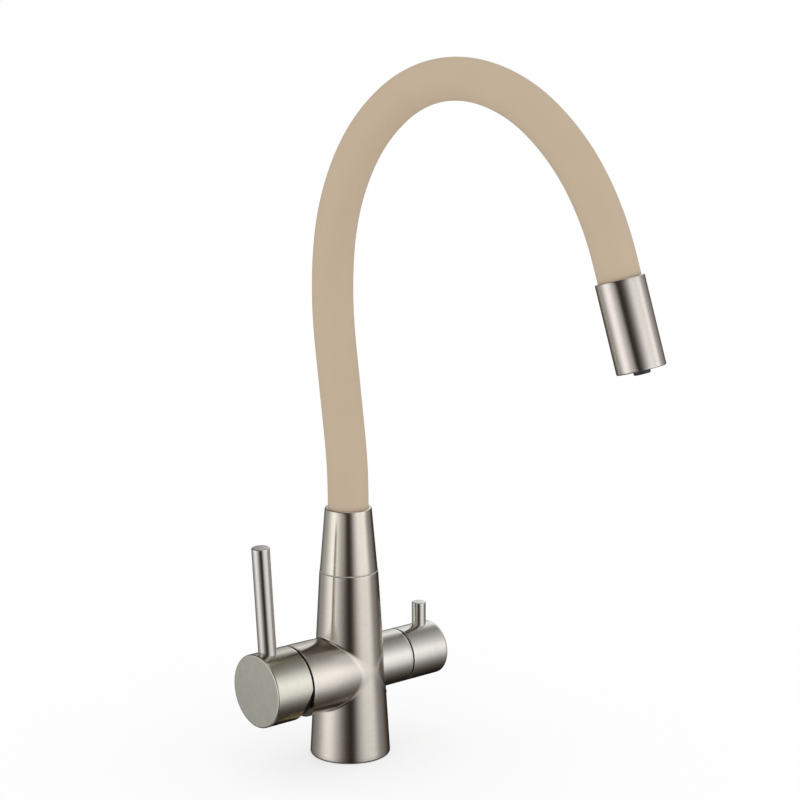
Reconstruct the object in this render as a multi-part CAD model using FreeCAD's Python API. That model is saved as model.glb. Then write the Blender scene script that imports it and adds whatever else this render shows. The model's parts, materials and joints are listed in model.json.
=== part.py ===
import FreeCAD, Part
import math
import os

# Two-handle kitchen faucet: a tapered column with a mixer on one side and a
# filtered-water valve on the other, and a swivelling spout of soft hose that
# ends in a round outlet. Millimetres, +Z up. The origin is the centre of the
# base on the worktop. The handles lie along X, the mixer on the -X side, and
# -Y is the front.

# Column
BASE_RADIUS = 25.0
COLUMN_HEIGHT = 117.0
COLUMN_TOP_RADIUS = 18.05
BASE_ROUND = 1.5
THREAD_DEPTH = 12.0
GASKET_INNER_RADIUS = 20.4
GASKET_OUTER_RADIUS = 22.8
GASKET_THICKNESS = 1.8

# Worktop fixing
WORKTOP_THICKNESS = 30.0
SHANK_RADIUS = 17.0
SHANK_THREAD_RADIUS = 16.0
SHANK_BORE_RADIUS = 15.0
SHANK_LENGTH = 52.0
WASHER_RADIUS = 26.0
WASHER_CLEARANCE = 0.3
RUBBER_WASHER_THICKNESS = 3.0
STEEL_WASHER_THICKNESS = 2.0
NUT_RADIUS = 23.0
NUT_HEIGHT = 8.0
NUT_NOTCHES = 6
NUT_NOTCH_WIDTH = 5.0
NUT_NOTCH_DEPTH = 2.5

# Waterways inside the column
INLET_THREAD_RADIUS = 4.5
INLET_THREAD_DEPTH = 12.0
WATERWAY_RADIUS = 2.5
RISER_RADIUS = 2.2
MIXER_PORT_CIRCLE = 8.0
MIXER_INLET_X = -7.5
MIXED_RISER_X = -6.2
FILTER_INLET_X = 8.5
FILTER_INLET_Y = -5.0
FILTER_INLET_DROP = 2.5
FILTER_OUTLET_RISE = 6.4

# Handle axis and the two side bosses
HANDLE_HEIGHT = 54.6
MIXER_RADIUS = 22.5
MIXER_BOSS_REACH = 45.0
BOSS_RELIEF_DROP = 7.0
BOSS_RELIEF_ANGLE = 20.5
FILTER_RADIUS = 16.9
FILTER_BOSS_REACH = 37.9
HANDLE_GAP = 0.5

# Mixer cartridge, measured along its axis from the column's axis
MIXER_CAVITY_RADIUS = 17.8
MIXER_CAVITY_FLOOR = 13.5
CARTRIDGE_SEAL_THICKNESS = 1.0
CARTRIDGE_SEAL_RADIUS = 15.0
CARTRIDGE_RADIUS = 17.5
CARTRIDGE_FLOOR_THICKNESS = 3.0
CARTRIDGE_BORE_RADIUS = 15.5
CARTRIDGE_NECK_RADIUS = 14.5
CARTRIDGE_NECK_WALL = 2.0
CARTRIDGE_SHOULDER = 36.0
CARTRIDGE_LENGTH = 27.0
PORT_RADIUS = 2.5
DISC_THICKNESS = 3.0
FIXED_DISC_RADIUS = 15.2
MOVING_DISC_RADIUS = 10.8
MIXING_POCKET_RADIUS = 7.5
MIXING_POCKET_DEPTH = 1.5
CARRIER_RADIUS = 10.8
CARRIER_THICKNESS = 5.5
STEM_BALL_RADIUS = 2.9
STEM_BALL_CLEARANCE = 0.25
STEM_NECK_RADIUS = 2.0
STEM_NECK_LENGTH = 1.0
STEM_WIDTH = 7.0
STEM_SLOT_CLEARANCE = 0.2
STEM_SLOT_LOW = 5.2
STEM_SLOT_HIGH = 8.2
STEM_END = 66.0
PIVOT_PIN_RADIUS = 2.0
PIVOT_PIN_CLEARANCE = 0.05
TURRET_FLANGE_THICKNESS = 4.0
TURRET_CLEARANCE = 0.2
TURRET_REACH_PAST_PIVOT = 4.0
MIXER_NUT_DOME_RADIUS = 20.6
MIXER_NUT_DOME_LENGTH = 5.5
MIXER_NUT_SLOTS = 4
MIXER_NUT_SLOT_WIDTH = 3.0
MIXER_NUT_SLOT_DEPTH = 2.0

# Mixer cap and lever
CAP_LENGTH = 26.05
CAP_GAP = 1.05
CAP_EDGE = 0.5
CAP_BORE_RADIUS = 21.0
CAP_BORE_DEPTH = 10.95
CAP_RELIEF_DEPTH = 4.45
CAP_RELIEF_START_RISE = 2.1
CAP_RELIEF_END_DROP = 8.6
LEVER_RADIUS = 5.5
LEVER_X = 63.3
LEVER_LEAN = 3.45
LEVER_TOP = 142.9
LEVER_SPIGOT_RADIUS = 4.0
LEVER_SPIGOT_LENGTH = 9.0
GRUB_RADIUS = 2.5
GRUB_LENGTH = 6.0
MIXER_GRUB_X = 62.3
PLUG_RADIUS = 3.2
PLUG_LENGTH = 2.5

# Filtered-water valve, measured along its axis from the column's axis
FILTER_CAVITY_RADIUS = 12.0
FILTER_CAVITY_FLOOR = 15.0
FILTER_SEAL_THICKNESS = 2.0
FILTER_SEAL_RADIUS = 9.5
FILTER_DISC_RADIUS = 9.4
FILTER_DISC_THICKNESS = 2.5
FILTER_PORT_RADIUS = 2.0
BONNET_SLEEVE_RADIUS = 11.0
BONNET_BORE_RADIUS = 9.6
BONNET_THREAD_START = 26.5
BONNET_FLANGE_RADIUS = 14.0
BONNET_FLANGE_THICKNESS = 3.0
BONNET_NECK_RADIUS = 7.5
BONNET_NECK_LENGTH = 5.0
SPINDLE_RADIUS = 5.0
SPINDLE_CLEARANCE = 0.06
SPINDLE_DRIVER_RADIUS = 9.2
SPINDLE_DRIVER_THICKNESS = 3.8
SPINDLE_SPLINE_RADIUS = 4.0
SPINDLE_SPLINE_LENGTH = 11.0
SPINDLE_GROOVE_RADIUS = 3.9
SPINDLE_GROOVE_WIDTH = 1.4
SPINDLE_GROOVE_PLACES = (31.0, 35.0)
CLIP_RADIUS = 6.2
CLIP_THICKNESS = 0.8
CLIP_GROOVE_RADIUS = 3.6
CLIP_OPENING = 4.0
CLIP_GAP = 0.15

# Filtered-water knob and pin
KNOB_END = 66.5
KNOB_EDGE = 1.0
KNOB_BORE_RADIUS = 14.8
KNOB_BORE_DEPTH = 10.2
PIN_RADIUS = 4.4
PIN_X = 56.7
PIN_TOP = 85.8
PIN_SPIGOT_RADIUS = 3.0
PIN_SPIGOT_LENGTH = 6.0
FILTER_GRUB_RADIUS = 2.0
FILTER_GRUB_LENGTH = 5.0
FILTER_GRUB_X = 53.0

# Swivel between the column and the spout
NIPPLE_THREAD_LENGTH = 14.0
NIPPLE_THREAD_RADIUS = 10.0
NIPPLE_CHAMBER_DEPTH = 4.0
NIPPLE_CHAMBER_RADIUS = 8.6
NIPPLE_FLANGE_RADIUS = 12.5
NIPPLE_FLANGE_THICKNESS = 2.0
NIPPLE_RADIUS = 9.0
NIPPLE_LENGTH = 20.0
NIPPLE_RUNNING_CLEARANCE = 0.08
NIPPLE_TAIL_RADIUS = 3.2
NIPPLE_TAIL_LENGTH = 8.0
NIPPLE_SPIGOT_RADIUS = 4.0
NIPPLE_SPIGOT_LENGTH = 8.0
NIPPLE_CENTRE_BORE_RADIUS = 1.8
NIPPLE_WATER_HOLES = 4
NIPPLE_WATER_HOLE_RADIUS = 1.4
NIPPLE_WATER_CIRCLE = 5.7
SEAL_GROOVE_RADIUS = 7.4
SEAL_GROOVE_WIDTH = 2.0
SEAL_GROOVE_RISES = (6.5, 12.5)
GLIDE_GROOVE_RADIUS = 8.0
GLIDE_RING_WIDTH = 2.5
GLIDE_RING_RISES = (2.0, 16.5)
RING_RUNNING_CLEARANCE = 0.02
SPIGOT_GROOVE_RADIUS = 3.0
SPIGOT_GROOVE_RISE = 4.5
SPIGOT_GROOVE_WIDTH = 1.4

# Swivel collar and the spout's end fitting inside it
COLLAR_GAP = 0.3
COLLAR_HEIGHT = 39.7
COLLAR_TOP_RADIUS = 14.3
COLLAR_LIP_ROUND = 1.5
FITTING_RADIUS = 13.0
FITTING_GAP = 0.3
FITTING_CHAMBER_HEIGHT = 2.0
FITTING_HEIGHT = 33.0
FITTING_ROOF_CLEARANCE = 0.5
FITTING_BARB_LENGTH = 11.0
FITTING_WATERWAY_RADIUS = 1.25
FITTING_FEED_OFFSET = 2.0

# Spout hose; its centre line is straight lengths and arcs in one upright plane. Each
# run is a share of the arch's length and the turn along it in degrees, and a
# positive turn leans back
SPOUT_SWING_ANGLE = 17.0
HOSE_RADIUS = 12.45
HOSE_BORE_RADIUS = 9.5
HOSE_RISE = 9.0
ARCH_LENGTH = 446.7
ARCH_RUNS = (
    (0.0754, 6.3),
    (0.1325, 0.0),
    (0.1350, -12.7),
    (0.1229, -21.8),
    (0.1012, -25.1),
    (0.1303, -48.3),
    (0.0960, -27.5),
    (0.1088, -20.5),
    (0.0979, -14.2),
)
HOSE_DROP = 12.0
HOSE_CLEARANCE = 0.15
BORE_SAG = 0.45
TUBE_SAG = 1.1
HOSE_INSERTION = 6.8
BARB_RADIUS = 9.3
MIXED_TUBE_RADIUS = 4.0
MIXED_TUBE_OFFSET = -4.2
FILTERED_TUBE_RADIUS = 2.75
FILTERED_TUBE_OFFSET = 5.2
MIXED_TUBE_WALL = 1.2
FILTERED_TUBE_WALL = 0.9
TUBE_END_CLEARANCE = 0.1
TUBE_INSERTION = 6.0

# Outlet, measured along its axis from its top face
OUTLET_RADIUS = 14.25
OUTLET_LENGTH = 51.7
OUTLET_WALL = 1.3
OUTLET_TOP_THICKNESS = 1.5
OUTLET_EDGE = 0.6
ADAPTER_FLANGE_PLACE = 7.0
ADAPTER_END = 34.0
ADAPTER_BARB_LENGTH = 8.0
ADAPTER_WATERWAY_RADIUS = 2.5
ADAPTER_FILTERED_WATERWAY_RADIUS = 1.75
ADAPTER_INNER_WALL = 1.0
ADAPTER_CHANNEL_DEPTH = 2.0
NOZZLE_CHAMBER_RADIUS = 4.3
NOZZLE_CHAMBER_DEPTH = 2.0
NOZZLE_RADIUS = 4.9
NOZZLE_BORE_RADIUS = 3.2
NOZZLE_PROTRUSION = 2.3
NOZZLE_SEAT_DEPTH = 5.0
AERATOR_SEAL_THICKNESS = 1.2
AERATOR_LENGTH = 12.8
AERATOR_RECESS = 0.9
AERATOR_RING_WALL = 1.2
AERATOR_HOLES = 12
AERATOR_HOLE_RADIUS = 1.0
MESH_THICKNESS = 0.8
MESH_DROP = 4.0

X_AXIS = FreeCAD.Vector(1, 0, 0)
Y_AXIS = FreeCAD.Vector(0, 1, 0)
Z_AXIS = FreeCAD.Vector(0, 0, 1)
ORIGIN = FreeCAD.Vector(0, 0, 0)
MARGIN = 1.0


def vector(x, y, z):
    return FreeCAD.Vector(x, y, z)


def outline(corners):
    """A closed face in the XZ plane; a corner with a third value is rounded to it."""
    stops = []
    for index, corner in enumerate(corners):
        here = vector(corner[0], 0, corner[1])
        if len(corner) == 2:
            stops.append((here, None, here))
            continue
        last = corners[index - 1]
        following = corners[(index + 1) % len(corners)]
        back = (vector(last[0], 0, last[1]) - here).normalize()
        ahead = (vector(following[0], 0, following[1]) - here).normalize()
        half = back.getAngle(ahead) / 2
        run = corner[2] / math.tan(half)
        inward = (back + ahead).normalize()
        centre = here + inward * (corner[2] / math.sin(half))
        stops.append((here + back * run, centre - inward * corner[2], here + ahead * run))
    edges = []
    for index, (start, middle, end) in enumerate(stops):
        if middle is not None:
            edges.append(Part.Arc(start, middle, end).toShape())
        target = stops[(index + 1) % len(stops)][0]
        edges.append(Part.LineSegment(end, target).toShape())
    return Part.Face(Part.Wire(edges))


def turned(corners):
    """A solid of revolution about Z from (radius, height) corners."""
    return outline(corners).revolve(ORIGIN, Z_AXIS, 360)


def rod(radius, low, high, x=0.0, y=0.0):
    return Part.makeCylinder(radius, high - low, vector(x, y, low))


def ring(inner, outer, low, high):
    return rod(outer, low, high).cut(rod(inner, low - MARGIN, high + MARGIN))


def seal(inner, outer, height):
    """A rubber ring squeezed between its groove's floor and the running wall."""
    half = (outer - inner) / 2
    flat = half / 2
    return turned(
        (
            (inner, height - flat),
            (inner + flat, height - half),
            (outer - flat, height - half),
            (outer, height - flat),
            (outer, height + flat),
            (outer - flat, height + half),
            (inner + flat, height + half),
            (inner, height + flat),
        )
    )


def box(low, high):
    size = high - low
    return Part.makeBox(size.x, size.y, size.z, low)


def placed(shape, at, direction):
    """The shape with its own Z turned to a direction in the XZ plane, and its Y kept."""
    moved = shape.copy()
    moved.Placement = FreeCAD.Placement(at, FreeCAD.Rotation(Z_AXIS, direction))
    return moved


def on_mixer_axis(shape):
    """From the mixer axis's own frame (Z outwards, X up) to its side of the column."""
    return placed(shape, vector(0, 0, HANDLE_HEIGHT), X_AXIS * -1)


def on_filter_axis(shape):
    """From the valve axis's own frame (Z outwards, X down) to its side of the column."""
    return placed(shape, vector(0, 0, HANDLE_HEIGHT), X_AXIS)


def in_spout_plane(shape):
    """From a spout drawn in the XZ plane, reaching along +X, to its resting swing."""
    moved = shape.copy()
    moved.rotate(ORIGIN, Z_AXIS, SPOUT_SWING_ANGLE - 90)
    return moved


# Worktop fixing


def base_gasket():
    return ring(GASKET_INNER_RADIUS, GASKET_OUTER_RADIUS, 0, GASKET_THICKNESS)


def mounting_shank():
    body = rod(SHANK_RADIUS, -SHANK_LENGTH, 0).fuse(rod(SHANK_THREAD_RADIUS, 0, THREAD_DEPTH))
    return body.cut(rod(SHANK_BORE_RADIUS, -SHANK_LENGTH - MARGIN, THREAD_DEPTH + MARGIN))


def fixing_washer(top, thickness):
    return ring(SHANK_RADIUS + WASHER_CLEARANCE, WASHER_RADIUS, top - thickness, top)


def rubber_washer():
    return fixing_washer(-WORKTOP_THICKNESS, RUBBER_WASHER_THICKNESS)


def steel_washer():
    return fixing_washer(-WORKTOP_THICKNESS - RUBBER_WASHER_THICKNESS, STEEL_WASHER_THICKNESS)


def shank_nut():
    top = -WORKTOP_THICKNESS - RUBBER_WASHER_THICKNESS - STEEL_WASHER_THICKNESS
    nut = ring(SHANK_RADIUS, NUT_RADIUS, top - NUT_HEIGHT, top)
    notch = box(
        vector(NUT_RADIUS - NUT_NOTCH_DEPTH, -NUT_NOTCH_WIDTH / 2, top - NUT_HEIGHT - MARGIN),
        vector(NUT_RADIUS + MARGIN, NUT_NOTCH_WIDTH / 2, top + MARGIN),
    )
    for number in range(NUT_NOTCHES):
        cutter = notch.copy()
        cutter.rotate(ORIGIN, Z_AXIS, 360 / NUT_NOTCHES * number)
        nut = nut.cut(cutter)
    return nut


# Column with its bosses and waterways

CARTRIDGE_START = MIXER_CAVITY_FLOOR + CARTRIDGE_SEAL_THICKNESS
CARTRIDGE_END = CARTRIDGE_START + CARTRIDGE_LENGTH
FIXED_DISC_START = CARTRIDGE_START + CARTRIDGE_FLOOR_THICKNESS
MOVING_DISC_START = FIXED_DISC_START + DISC_THICKNESS
CARRIER_START = MOVING_DISC_START + DISC_THICKNESS
CARRIER_END = CARRIER_START + CARRIER_THICKNESS
PIVOT_REACH = MIXER_BOSS_REACH
MIXER_PORT_DROP = MIXER_PORT_CIRCLE * math.sin(math.radians(30))
MIXER_PORT_SIDE = MIXER_PORT_CIRCLE * math.cos(math.radians(30))
FILTER_SEAL_END = FILTER_CAVITY_FLOOR + FILTER_SEAL_THICKNESS
SWIVEL_SOCKET_FLOOR = COLUMN_HEIGHT - NIPPLE_THREAD_LENGTH
CHAMBER_FLOOR = SWIVEL_SOCKET_FLOOR - NIPPLE_CHAMBER_DEPTH
FILTER_OUTLET_HEIGHT = HANDLE_HEIGHT + FILTER_OUTLET_RISE
MIXED_OUTLET_HEIGHT = HANDLE_HEIGHT + MIXER_PORT_CIRCLE


def mixer_ports(radius, low, high):
    """The three ports in the axis's own frame: mixed at the top, hot and cold below."""
    mixed = rod(radius, low, high, MIXER_PORT_CIRCLE, 0)
    hot = rod(radius, low, high, -MIXER_PORT_DROP, MIXER_PORT_SIDE)
    cold = rod(radius, low, high, -MIXER_PORT_DROP, -MIXER_PORT_SIDE)
    return mixed.fuse([hot, cold])


def filter_ports(radius, low, high):
    """The valve's outlet at the top and its inlet at the front, in the axis's own frame."""
    outlet = rod(radius, low, high, -FILTER_OUTLET_RISE, 0)
    inlet = rod(radius, low, high, FILTER_INLET_DROP, FILTER_INLET_Y)
    return outlet.fuse(inlet)


def boss_relief():
    """The slanted cut under the mixer boss that lets the cap tilt."""
    top = HANDLE_HEIGHT - BOSS_RELIEF_DROP
    bottom = HANDLE_HEIGHT - MIXER_RADIUS - MARGIN
    back = (top - bottom) * math.tan(math.radians(BOSS_RELIEF_ANGLE))
    face = outline(
        (
            (-MIXER_BOSS_REACH, top),
            (-MIXER_BOSS_REACH + back, bottom),
            (-MIXER_BOSS_REACH - MARGIN, bottom),
            (-MIXER_BOSS_REACH - MARGIN, top),
        )
    )
    face.translate(vector(0, -BASE_RADIUS, 0))
    return face.extrude(vector(0, 2 * BASE_RADIUS, 0))


def faucet_body():
    column = turned(
        (
            (0, 0),
            (BASE_RADIUS, 0, BASE_ROUND),
            (COLUMN_TOP_RADIUS, COLUMN_HEIGHT),
            (0, COLUMN_HEIGHT),
        )
    )
    mixer_boss = on_mixer_axis(rod(MIXER_RADIUS, 0, MIXER_BOSS_REACH)).cut(boss_relief())
    filter_boss = on_filter_axis(rod(FILTER_RADIUS, 0, FILTER_BOSS_REACH))
    body = column.fuse([mixer_boss, filter_boss])

    mixer_cavity = rod(MIXER_CAVITY_RADIUS, MIXER_CAVITY_FLOOR, MIXER_BOSS_REACH + MARGIN)
    filter_cavity = rod(FILTER_CAVITY_RADIUS, FILTER_CAVITY_FLOOR, FILTER_BOSS_REACH + MARGIN)
    cutters = [
        on_mixer_axis(mixer_cavity),
        on_filter_axis(filter_cavity),
        rod(SHANK_THREAD_RADIUS, -MARGIN, THREAD_DEPTH),
        ring(GASKET_INNER_RADIUS, GASKET_OUTER_RADIUS, -MARGIN, GASKET_THICKNESS),
        rod(NIPPLE_THREAD_RADIUS, SWIVEL_SOCKET_FLOOR, COLUMN_HEIGHT + MARGIN),
        rod(NIPPLE_CHAMBER_RADIUS, CHAMBER_FLOOR, SWIVEL_SOCKET_FLOOR + MARGIN),
    ]

    port_height = HANDLE_HEIGHT - MIXER_PORT_DROP
    inlet_top = THREAD_DEPTH + INLET_THREAD_DEPTH
    for side in (-1, 1):
        y = side * MIXER_PORT_SIDE
        cutters.append(rod(INLET_THREAD_RADIUS, THREAD_DEPTH - MARGIN, inlet_top, MIXER_INLET_X, y))
        cutters.append(rod(WATERWAY_RADIUS, THREAD_DEPTH, port_height, MIXER_INLET_X, y))
        port = rod(WATERWAY_RADIUS, -MIXER_INLET_X, MIXER_CAVITY_FLOOR + MARGIN)
        cutters.append(placed(port, vector(0, y, port_height), X_AXIS * -1))

    filter_port_height = HANDLE_HEIGHT - FILTER_INLET_DROP
    cutters.append(
        rod(INLET_THREAD_RADIUS, THREAD_DEPTH - MARGIN, inlet_top, FILTER_INLET_X, FILTER_INLET_Y)
    )
    cutters.append(
        rod(RISER_RADIUS, THREAD_DEPTH, filter_port_height, FILTER_INLET_X, FILTER_INLET_Y)
    )
    inlet = rod(RISER_RADIUS, FILTER_INLET_X, FILTER_CAVITY_FLOOR + MARGIN)
    cutters.append(placed(inlet, vector(0, FILTER_INLET_Y, filter_port_height), X_AXIS))

    mixed_port = rod(RISER_RADIUS, -MIXED_RISER_X, MIXER_CAVITY_FLOOR + MARGIN)
    cutters.append(placed(mixed_port, vector(0, 0, MIXED_OUTLET_HEIGHT), X_AXIS * -1))
    cutters.append(rod(RISER_RADIUS, MIXED_OUTLET_HEIGHT, CHAMBER_FLOOR + MARGIN, MIXED_RISER_X))
    filter_port = rod(RISER_RADIUS, 0, FILTER_CAVITY_FLOOR + MARGIN)
    cutters.append(placed(filter_port, vector(0, 0, FILTER_OUTLET_HEIGHT), X_AXIS))
    cutters.append(rod(RISER_RADIUS, FILTER_OUTLET_HEIGHT, CHAMBER_FLOOR + MARGIN))
    tail_seat = SWIVEL_SOCKET_FLOOR - NIPPLE_TAIL_LENGTH
    cutters.append(rod(NIPPLE_TAIL_RADIUS, tail_seat, CHAMBER_FLOOR + MARGIN))
    return body.cut(cutters)


# Mixer cartridge


def cartridge_seal():
    plate = rod(CARTRIDGE_SEAL_RADIUS, MIXER_CAVITY_FLOOR, CARTRIDGE_START)
    return plate.cut(mixer_ports(PORT_RADIUS, MIXER_CAVITY_FLOOR - MARGIN, CARTRIDGE_START + MARGIN))


def cartridge_housing():
    neck_bore = CARTRIDGE_NECK_RADIUS - CARTRIDGE_NECK_WALL
    ceiling = CARRIER_END + 2 * TURRET_CLEARANCE + TURRET_FLANGE_THICKNESS
    shell = turned(
        (
            (0, CARTRIDGE_START),
            (CARTRIDGE_RADIUS, CARTRIDGE_START),
            (CARTRIDGE_RADIUS, CARTRIDGE_SHOULDER),
            (CARTRIDGE_NECK_RADIUS, CARTRIDGE_SHOULDER),
            (CARTRIDGE_NECK_RADIUS, CARTRIDGE_END),
            (neck_bore, CARTRIDGE_END),
            (neck_bore, ceiling),
            (CARTRIDGE_BORE_RADIUS, ceiling),
            (CARTRIDGE_BORE_RADIUS, FIXED_DISC_START),
            (0, FIXED_DISC_START),
        )
    )
    return shell.cut(mixer_ports(PORT_RADIUS, CARTRIDGE_START - MARGIN, FIXED_DISC_START + MARGIN))


def fixed_disc():
    disc = rod(FIXED_DISC_RADIUS, FIXED_DISC_START, MOVING_DISC_START)
    return disc.cut(mixer_ports(PORT_RADIUS, FIXED_DISC_START - MARGIN, MOVING_DISC_START + MARGIN))


def moving_disc():
    disc = rod(MOVING_DISC_RADIUS, MOVING_DISC_START, CARRIER_START)
    pocket_top = MOVING_DISC_START + MIXING_POCKET_DEPTH
    return disc.cut(rod(MIXING_POCKET_RADIUS, MOVING_DISC_START - MARGIN, pocket_top))


STEM_BALL_PLACE = CARRIER_END - STEM_BALL_RADIUS / 2


def disc_carrier():
    socket_radius = STEM_BALL_RADIUS + STEM_BALL_CLEARANCE
    socket_floor = STEM_BALL_PLACE - STEM_BALL_RADIUS - STEM_BALL_CLEARANCE
    block = rod(CARRIER_RADIUS, CARRIER_START, CARRIER_END)
    return block.cut(rod(socket_radius, socket_floor, CARRIER_END + MARGIN))


def mixer_turret():
    flange_start = CARRIER_END + TURRET_CLEARANCE
    flange_end = flange_start + TURRET_FLANGE_THICKNESS
    neck_radius = CARTRIDGE_NECK_RADIUS - CARTRIDGE_NECK_WALL - TURRET_CLEARANCE
    end = PIVOT_REACH + TURRET_REACH_PAST_PIVOT
    body = turned(
        (
            (0, flange_start),
            (CARTRIDGE_BORE_RADIUS - TURRET_CLEARANCE, flange_start),
            (CARTRIDGE_BORE_RADIUS - TURRET_CLEARANCE, flange_end),
            (neck_radius, flange_end),
            (neck_radius, end),
            (0, end),
        )
    )
    half_slot = STEM_WIDTH / 2 + STEM_SLOT_CLEARANCE
    slot = box(
        vector(-STEM_SLOT_LOW, -half_slot, flange_start - MARGIN),
        vector(STEM_SLOT_HIGH, half_slot, end + MARGIN),
    )
    return body.cut([slot, pivot_rod(PIVOT_PIN_RADIUS, neck_radius + MARGIN)])


def pivot_rod(radius, half_length):
    """A rod across the mixer's axis where the lever's stem tilts."""
    return Part.makeCylinder(radius, 2 * half_length, vector(0, -half_length, PIVOT_REACH), Y_AXIS)


def pivot_pin():
    neck_radius = CARTRIDGE_NECK_RADIUS - CARTRIDGE_NECK_WALL - TURRET_CLEARANCE
    return pivot_rod(PIVOT_PIN_RADIUS, math.sqrt(neck_radius ** 2 - PIVOT_PIN_RADIUS ** 2))


def lever_stem():
    ball = Part.makeSphere(STEM_BALL_RADIUS, vector(0, 0, STEM_BALL_PLACE))
    bar_start = STEM_BALL_PLACE + STEM_BALL_RADIUS + STEM_NECK_LENGTH
    neck = rod(STEM_NECK_RADIUS, STEM_BALL_PLACE, bar_start + MARGIN)
    half = STEM_WIDTH / 2
    bar = box(vector(-half, -half, bar_start), vector(half, half, STEM_END))
    stem = ball.fuse([neck, bar])
    return stem.cut(pivot_rod(PIVOT_PIN_RADIUS + PIVOT_PIN_CLEARANCE, half + MARGIN))


def mixer_nut():
    """The ring nut that holds the cartridge; its round nose clears the tilting cap."""
    bore = CARTRIDGE_NECK_RADIUS + TURRET_CLEARANCE
    end = PIVOT_REACH + MIXER_NUT_DOME_LENGTH
    sleeve = ring(bore, MIXER_CAVITY_RADIUS, CARTRIDGE_SHOULDER, PIVOT_REACH + MARGIN)
    dome = Part.makeSphere(MIXER_NUT_DOME_RADIUS, vector(0, 0, PIVOT_REACH))
    zone = dome.common(rod(MIXER_NUT_DOME_RADIUS + MARGIN, PIVOT_REACH, end))
    nut = sleeve.fuse(zone).cut(rod(bore, CARTRIDGE_SHOULDER - MARGIN, end + MARGIN))
    slot = box(
        vector(0, -MIXER_NUT_SLOT_WIDTH / 2, end - MIXER_NUT_SLOT_DEPTH),
        vector(bore + MIXER_NUT_SLOT_DEPTH, MIXER_NUT_SLOT_WIDTH / 2, end + MARGIN),
    )
    for number in range(MIXER_NUT_SLOTS):
        cutter = slot.copy()
        cutter.rotate(ORIGIN, Z_AXIS, 360 / MIXER_NUT_SLOTS * (number + 0.5))
        nut = nut.cut(cutter)
    return nut


# Mixer cap and lever

CAP_START = MIXER_BOSS_REACH + CAP_GAP
CAP_END = CAP_START + CAP_LENGTH
CAP_FLOOR = CAP_START + CAP_BORE_DEPTH


def cap_relief():
    """The step and slant at the cap's lower rim, cut straight across."""
    start = HANDLE_HEIGHT + CAP_RELIEF_START_RISE
    end = HANDLE_HEIGHT - CAP_RELIEF_END_DROP
    bottom = HANDLE_HEIGHT - MIXER_RADIUS - MARGIN
    face = outline(
        (
            (-CAP_START, start),
            (-CAP_START - CAP_RELIEF_DEPTH, end),
            (-CAP_START - CAP_RELIEF_DEPTH, bottom),
            (-CAP_START + MARGIN, bottom),
            (-CAP_START + MARGIN, start),
        )
    )
    face.translate(vector(0, -BASE_RADIUS, 0))
    return face.extrude(vector(0, 2 * BASE_RADIUS, 0))


def mixer_cap():
    shell = turned(
        (
            (0, CAP_START),
            (MIXER_RADIUS, CAP_START),
            (MIXER_RADIUS, CAP_END, CAP_EDGE),
            (0, CAP_END),
        )
    )
    half = STEM_WIDTH / 2
    cutters = [
        rod(CAP_BORE_RADIUS, CAP_START - MARGIN, CAP_FLOOR),
        box(vector(-half, -half, CAP_FLOOR - MARGIN), vector(half, half, STEM_END)),
        below_mixer_axis(GRUB_RADIUS, half - MARGIN, MIXER_RADIUS),
        below_mixer_axis(PLUG_RADIUS, MIXER_RADIUS - PLUG_LENGTH, MIXER_RADIUS + MARGIN),
    ]
    return on_mixer_axis(shell.cut(cutters)).cut([cap_relief(), lever_spigot(MARGIN)])


def below_mixer_axis(radius, near, far):
    """A rod that points straight down from the mixer's axis at its grub screw."""
    return Part.makeCylinder(radius, far - near, vector(-near, 0, MIXER_GRUB_X), X_AXIS * -1)


def lever_foot():
    """Where the lever's axis meets the height of the cap's upper side."""
    return vector(-LEVER_X, 0, HANDLE_HEIGHT + MIXER_RADIUS)


def lever_direction():
    lean = math.radians(LEVER_LEAN)
    return vector(-math.sin(lean), 0, math.cos(lean))


def lever_spigot(extra=0.0):
    direction = lever_direction()
    start = lever_foot() - direction * LEVER_SPIGOT_LENGTH
    return Part.makeCylinder(LEVER_SPIGOT_RADIUS, LEVER_SPIGOT_LENGTH + extra, start, direction)


def mixer_lever():
    direction = lever_direction()
    below = 2 * LEVER_RADIUS
    length = (LEVER_TOP - HANDLE_HEIGHT - MIXER_RADIUS) / direction.z + below
    bar = Part.makeCylinder(LEVER_RADIUS, length, lever_foot() - direction * below, direction)
    bar = bar.cut(on_mixer_axis(rod(MIXER_RADIUS, 0, CAP_END + BASE_RADIUS)))
    return bar.fuse(lever_spigot(MARGIN))


def mixer_grub_screw():
    near = STEM_WIDTH / 2
    return below_mixer_axis(GRUB_RADIUS, near, near + GRUB_LENGTH)


def mixer_plug():
    plug = below_mixer_axis(PLUG_RADIUS, MIXER_RADIUS - PLUG_LENGTH, MIXER_RADIUS + MARGIN)
    return plug.common(rod(MIXER_RADIUS, CAP_START, CAP_END))


# Filtered-water valve

FILTER_DISC_END = FILTER_SEAL_END + FILTER_DISC_THICKNESS
ROTOR_END = FILTER_DISC_END + FILTER_DISC_THICKNESS
DRIVER_END = ROTOR_END + SPINDLE_DRIVER_THICKNESS
BONNET_FLANGE_END = FILTER_BOSS_REACH + BONNET_FLANGE_THICKNESS
BONNET_END = BONNET_FLANGE_END + BONNET_NECK_LENGTH
KNOB_START = FILTER_BOSS_REACH + HANDLE_GAP
KNOB_FLOOR = KNOB_START + KNOB_BORE_DEPTH
SPINDLE_END = KNOB_FLOOR + SPINDLE_SPLINE_LENGTH


def filter_seal():
    plate = rod(FILTER_SEAL_RADIUS, FILTER_CAVITY_FLOOR, FILTER_SEAL_END)
    holes = filter_ports(FILTER_PORT_RADIUS, FILTER_CAVITY_FLOOR - MARGIN, FILTER_SEAL_END + MARGIN)
    return plate.cut(holes)


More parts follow.
